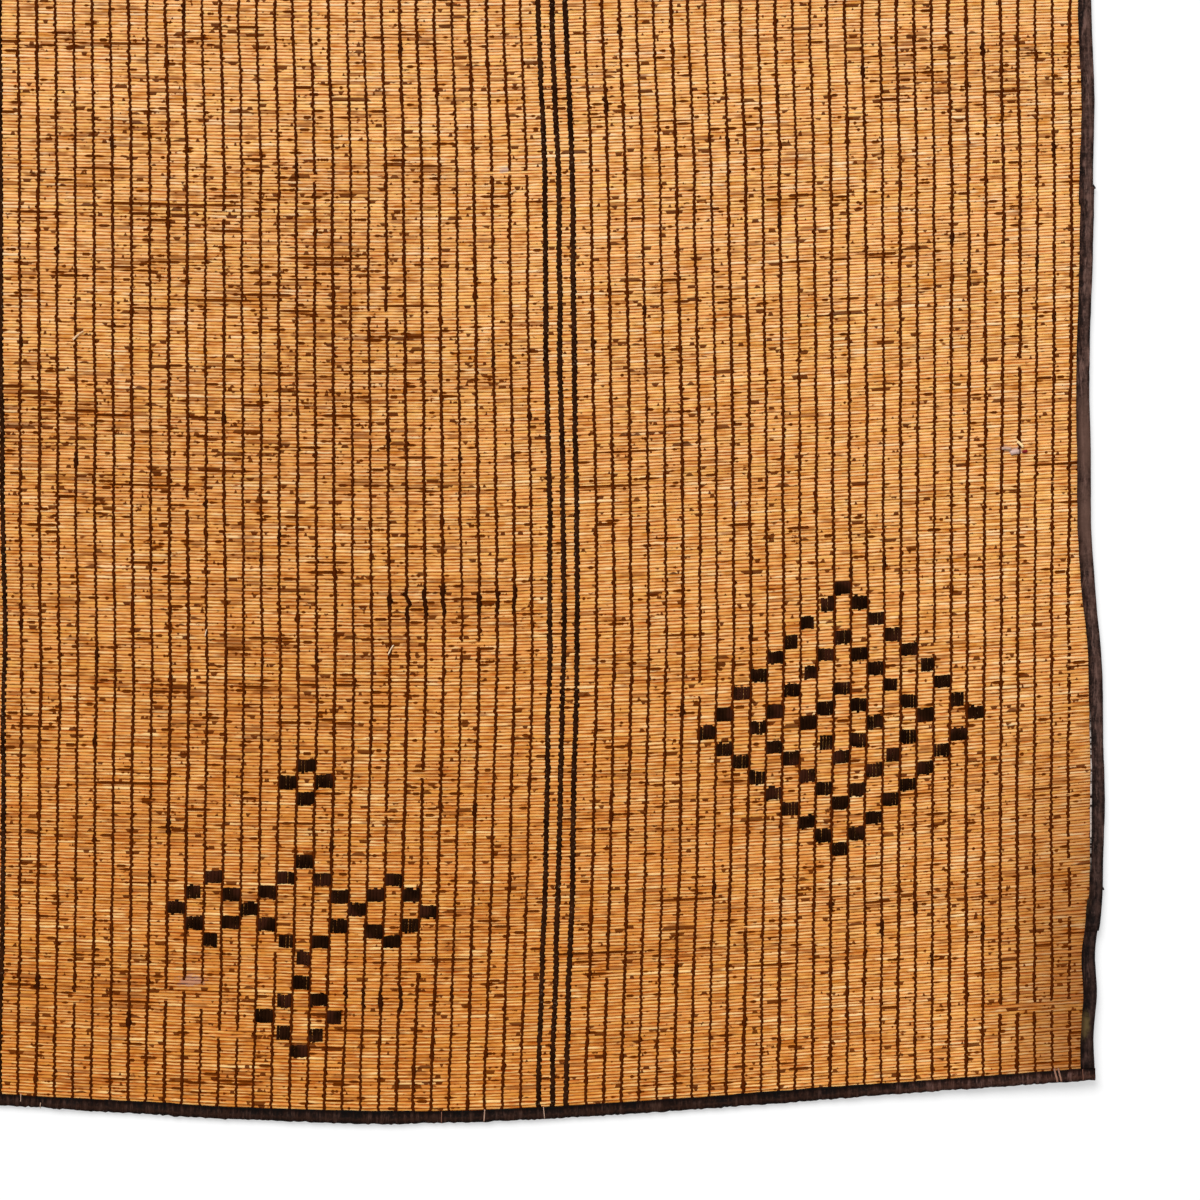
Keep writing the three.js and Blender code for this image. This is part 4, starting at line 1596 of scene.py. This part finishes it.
class MAT_OT_threads(bpy.types.Operator):
    """Lays the stitches over the near edge, the burrs and the loose bits of straw"""

    bl_idname = "mat.threads"
    bl_label = "Threads"

    def execute(self, context):
        mat = context.scene.reed_mat
        settings = mat.bindings
        material = thread_material()
        stitches = [self.stitch(settings.ridge / MM, *row[:5]) for row in rows_of(STITCHES)]
        pale = STITCHES["pale"][:, None]
        colours = pale * np.array(settings.thread_colour) + (1 - pale) * DARK_THREAD
        self.show("stitches", stitches, colours, material)
        top = (mat.reeds.height + mat.thongs.proud) / MM + SCRAP_PROUD
        rows = rows_of(SCRAPS)
        self.show("scraps", [self.scrap(top, *row[:5]) for row in rows], rows[:, 5:], material)
        burrs = [self.scrap(BURR_HEIGHT, *row) for row in rows_of(BURRS)]
        self.show("burrs", burrs, np.tile(settings.burr_colour, (len(burrs), 1)), material)
        return {"FINISHED"}

    @staticmethod
    def stitch(ridge, x, lean, width, start, end):
        """One thread over the near binding's fold, tucked in at both ends."""
        line = binding_section(END_BINDING, ridge)[4:]
        line = both_faces(line, LEATHER + 2 * STITCH_LIFT)[: len(line)]
        line = np.vstack([line[0] - (0.0, 0.8), line, line[-1] + (2.0, -0.8)])
        inset = np.linspace(start, end, 10)
        height = np.interp(inset, line[:, 0], line[:, 1])
        across = flat_place(x, -HALF_LENGTH)[0] + lean * (inset - 4.5)
        return ribbon(np.column_stack([across, inset - HALF_LENGTH, height]), width, STITCH_THICK)

    @staticmethod
    def scrap(top, x, y, length, turn, width):
        """One slightly bent bit, lying level."""
        t = np.linspace(-0.5, 0.5, 7)
        across, along = flat_place(x, y)
        c, s = math.cos(math.radians(turn)), math.sin(math.radians(turn))
        bend = 0.12 * length * (0.25 - t * t)
        path = [across + length * t * c - bend * s, along + length * t * s + bend * c, top + 0.8 * bend]
        return ribbon(np.column_stack(path), width, SCRAP_THICK)

    @staticmethod
    def show(name, bands, colours, material):
        """Shows bands as one piece, each with its own colour."""
        points, faces = join_shells(bands)
        mesh = mesh_of(name, points, faces)
        mesh.shade_smooth()
        for channel, values in zip(("red", "green", "blue"), np.transpose(colours)):
            set_numbers(mesh, channel, np.repeat(values, [len(band) for band, _ in bands]))
        add_piece(name, mesh, material)


# ---------------------------------------------------------------- stage


# The floor, in metres: how far it reaches each way, how far it lies under the mat, and how far in from
# the mat's sides and ends it still glows
FLOOR_REACH, FLOOR_DROP = 30.0, 0.0003
UNDER_SIDES, UNDER_ENDS = 0.02, 0.03
SUN_FROM = (-0.30, 0.62, 0.72)  # above, towards the far left
SUN_SPREAD = 35  # degrees across, for soft shadows
SENSOR = 36.0  # millimetres
VIEW_END = 20.0  # metres from the camera


class MAT_OT_stage(bpy.types.Operator):
    """Lays the floor and sets the lights and the camera"""

    bl_idname = "mat.stage"
    bl_label = "Stage"

    def execute(self, context):
        settings = context.scene.reed_mat.stage
        self.floor(settings)
        self.lights(settings)
        self.camera(settings)
        context.scene.view_settings.view_transform = "Standard"
        return {"FINISHED"}

    @staticmethod
    def seen(g):
        """1 for rays that show the surroundings, and 0 for those that light the mat."""
        path = g.add("ShaderNodeLightPath").outputs
        seen = g.plus(path["Is Camera Ray"], path["Is Glossy Ray"])
        return g.math("ADD", seen, path["Is Transmission Ray"], clamp=True)

    def floor(self, settings):
        """A pale floor that shows white beside the mat. Under the mat it keeps its plain colour, so that
        it doesn't shine up between the stems."""
        corners = [(x * FLOOR_REACH, y * FLOOR_REACH) for x, y in ((-1, -1), (1, -1), (1, 1), (-1, 1))]
        mesh = bpy.data.meshes.new("floor")
        mesh.from_pydata([(x, y, -FLOOR_DROP) for x, y in corners], [], [(0, 1, 2, 3)])
        g = Finish("floor")
        g.colour = (*settings.floor_colour, 1.0)
        parts = g.parts()
        beside = g.math("GREATER_THAN", g.math("ABSOLUTE", parts["X"]), HALF_WIDTH * MM - UNDER_SIDES)
        beyond = g.math("GREATER_THAN", g.math("ABSOLUTE", parts["Y"]), HALF_LENGTH * MM - UNDER_ENDS)
        seen = g.times(self.seen(g), g.math("MAXIMUM", beside, beyond))
        glow = g.add("ShaderNodeEmission", {"Strength": g.times(seen, settings.glow)})
        both = g.add("ShaderNodeAddShader", {0: g.shader.outputs[0], 1: glow.outputs[0]})
        g.feed(g.tree.nodes["Material Output"].inputs["Surface"], both.outputs[0])
        mesh.materials.append(g.done(0.9, 0.1))
        add_object("floor", mesh)

    def lights(self, settings):
        world = bpy.data.worlds.new("world")
        bpy.context.scene.world = world
        world.use_nodes = True
        background = world.node_tree.nodes["Background"]
        background.inputs["Color"].default_value = (1.0, 1.0, 1.0, 1.0)
        g = Graph(world.node_tree)
        g.feed(background.inputs["Strength"], g.ramp(self.seen(g), 0.0, 1.0, settings.fill, 1.0))
        sun = bpy.data.lights.new("key", "SUN")
        sun.angle = math.radians(SUN_SPREAD)
        direction = np.array(SUN_FROM)
        direction /= np.linalg.norm(direction)
        sun.energy = settings.key * math.pi / direction[2]
        lamp = add_object("key", sun)
        lamp.rotation_mode = "QUATERNION"
        lamp.rotation_quaternion = Vector(direction).to_track_quat("Z", "Y")

    @staticmethod
    def camera(settings):
        data = bpy.data.cameras.new("camera")
        data.lens = settings.lens
        data.sensor_width = SENSOR
        data.clip_end = VIEW_END
        camera = add_object("camera", data)
        height = settings.view_width * data.lens / data.sensor_width
        camera.location = (*settings.middle, height + settings.mat_top)
        bpy.context.scene.camera = camera


# ---------------------------------------------------------------- add-on


class MAT_PT_panel(bpy.types.Panel):
    """Lists the steps that dress the mat"""

    bl_label = "Reed Mat"
    bl_idname = "MAT_PT_panel"
    bl_space_type = "VIEW_3D"
    bl_region_type = "UI"
    bl_category = "Reed Mat"

    def draw(self, context):
        for step in STEPS:
            self.layout.operator(step.bl_idname)
        mat = context.scene.reed_mat
        for group in (mat.reeds, mat.thongs, mat.motifs, mat.bindings, mat.stage):
            box = self.layout.box()
            for name in group.bl_rna.properties.keys():
                if name not in ("rna_type", "name"):
                    box.prop(group, name)


STEPS = (
    MAT_OT_stage,
    MAT_OT_reeds,
    MAT_OT_thin_thongs,
    MAT_OT_heavy_thongs,
    MAT_OT_motifs,
    MAT_OT_bindings,
    MAT_OT_threads,
)
CLASSES = (
    ReedSettings,
    ThongSettings,
    MotifSettings,
    BindingSettings,
    StageSettings,
    MatSettings,
    *STEPS,
    MAT_PT_panel,
)


def register():
    for cls in CLASSES:
        bpy.utils.register_class(cls)
    bpy.types.Scene.reed_mat = PointerProperty(type=MatSettings)


def unregister():
    del bpy.types.Scene.reed_mat
    for cls in reversed(CLASSES):
        bpy.utils.unregister_class(cls)


def main():
    register()
    for step in STEPS:
        group, name = step.bl_idname.split(".")
        getattr(getattr(bpy.ops, group), name)()


if __name__ == "__main__":
    main()
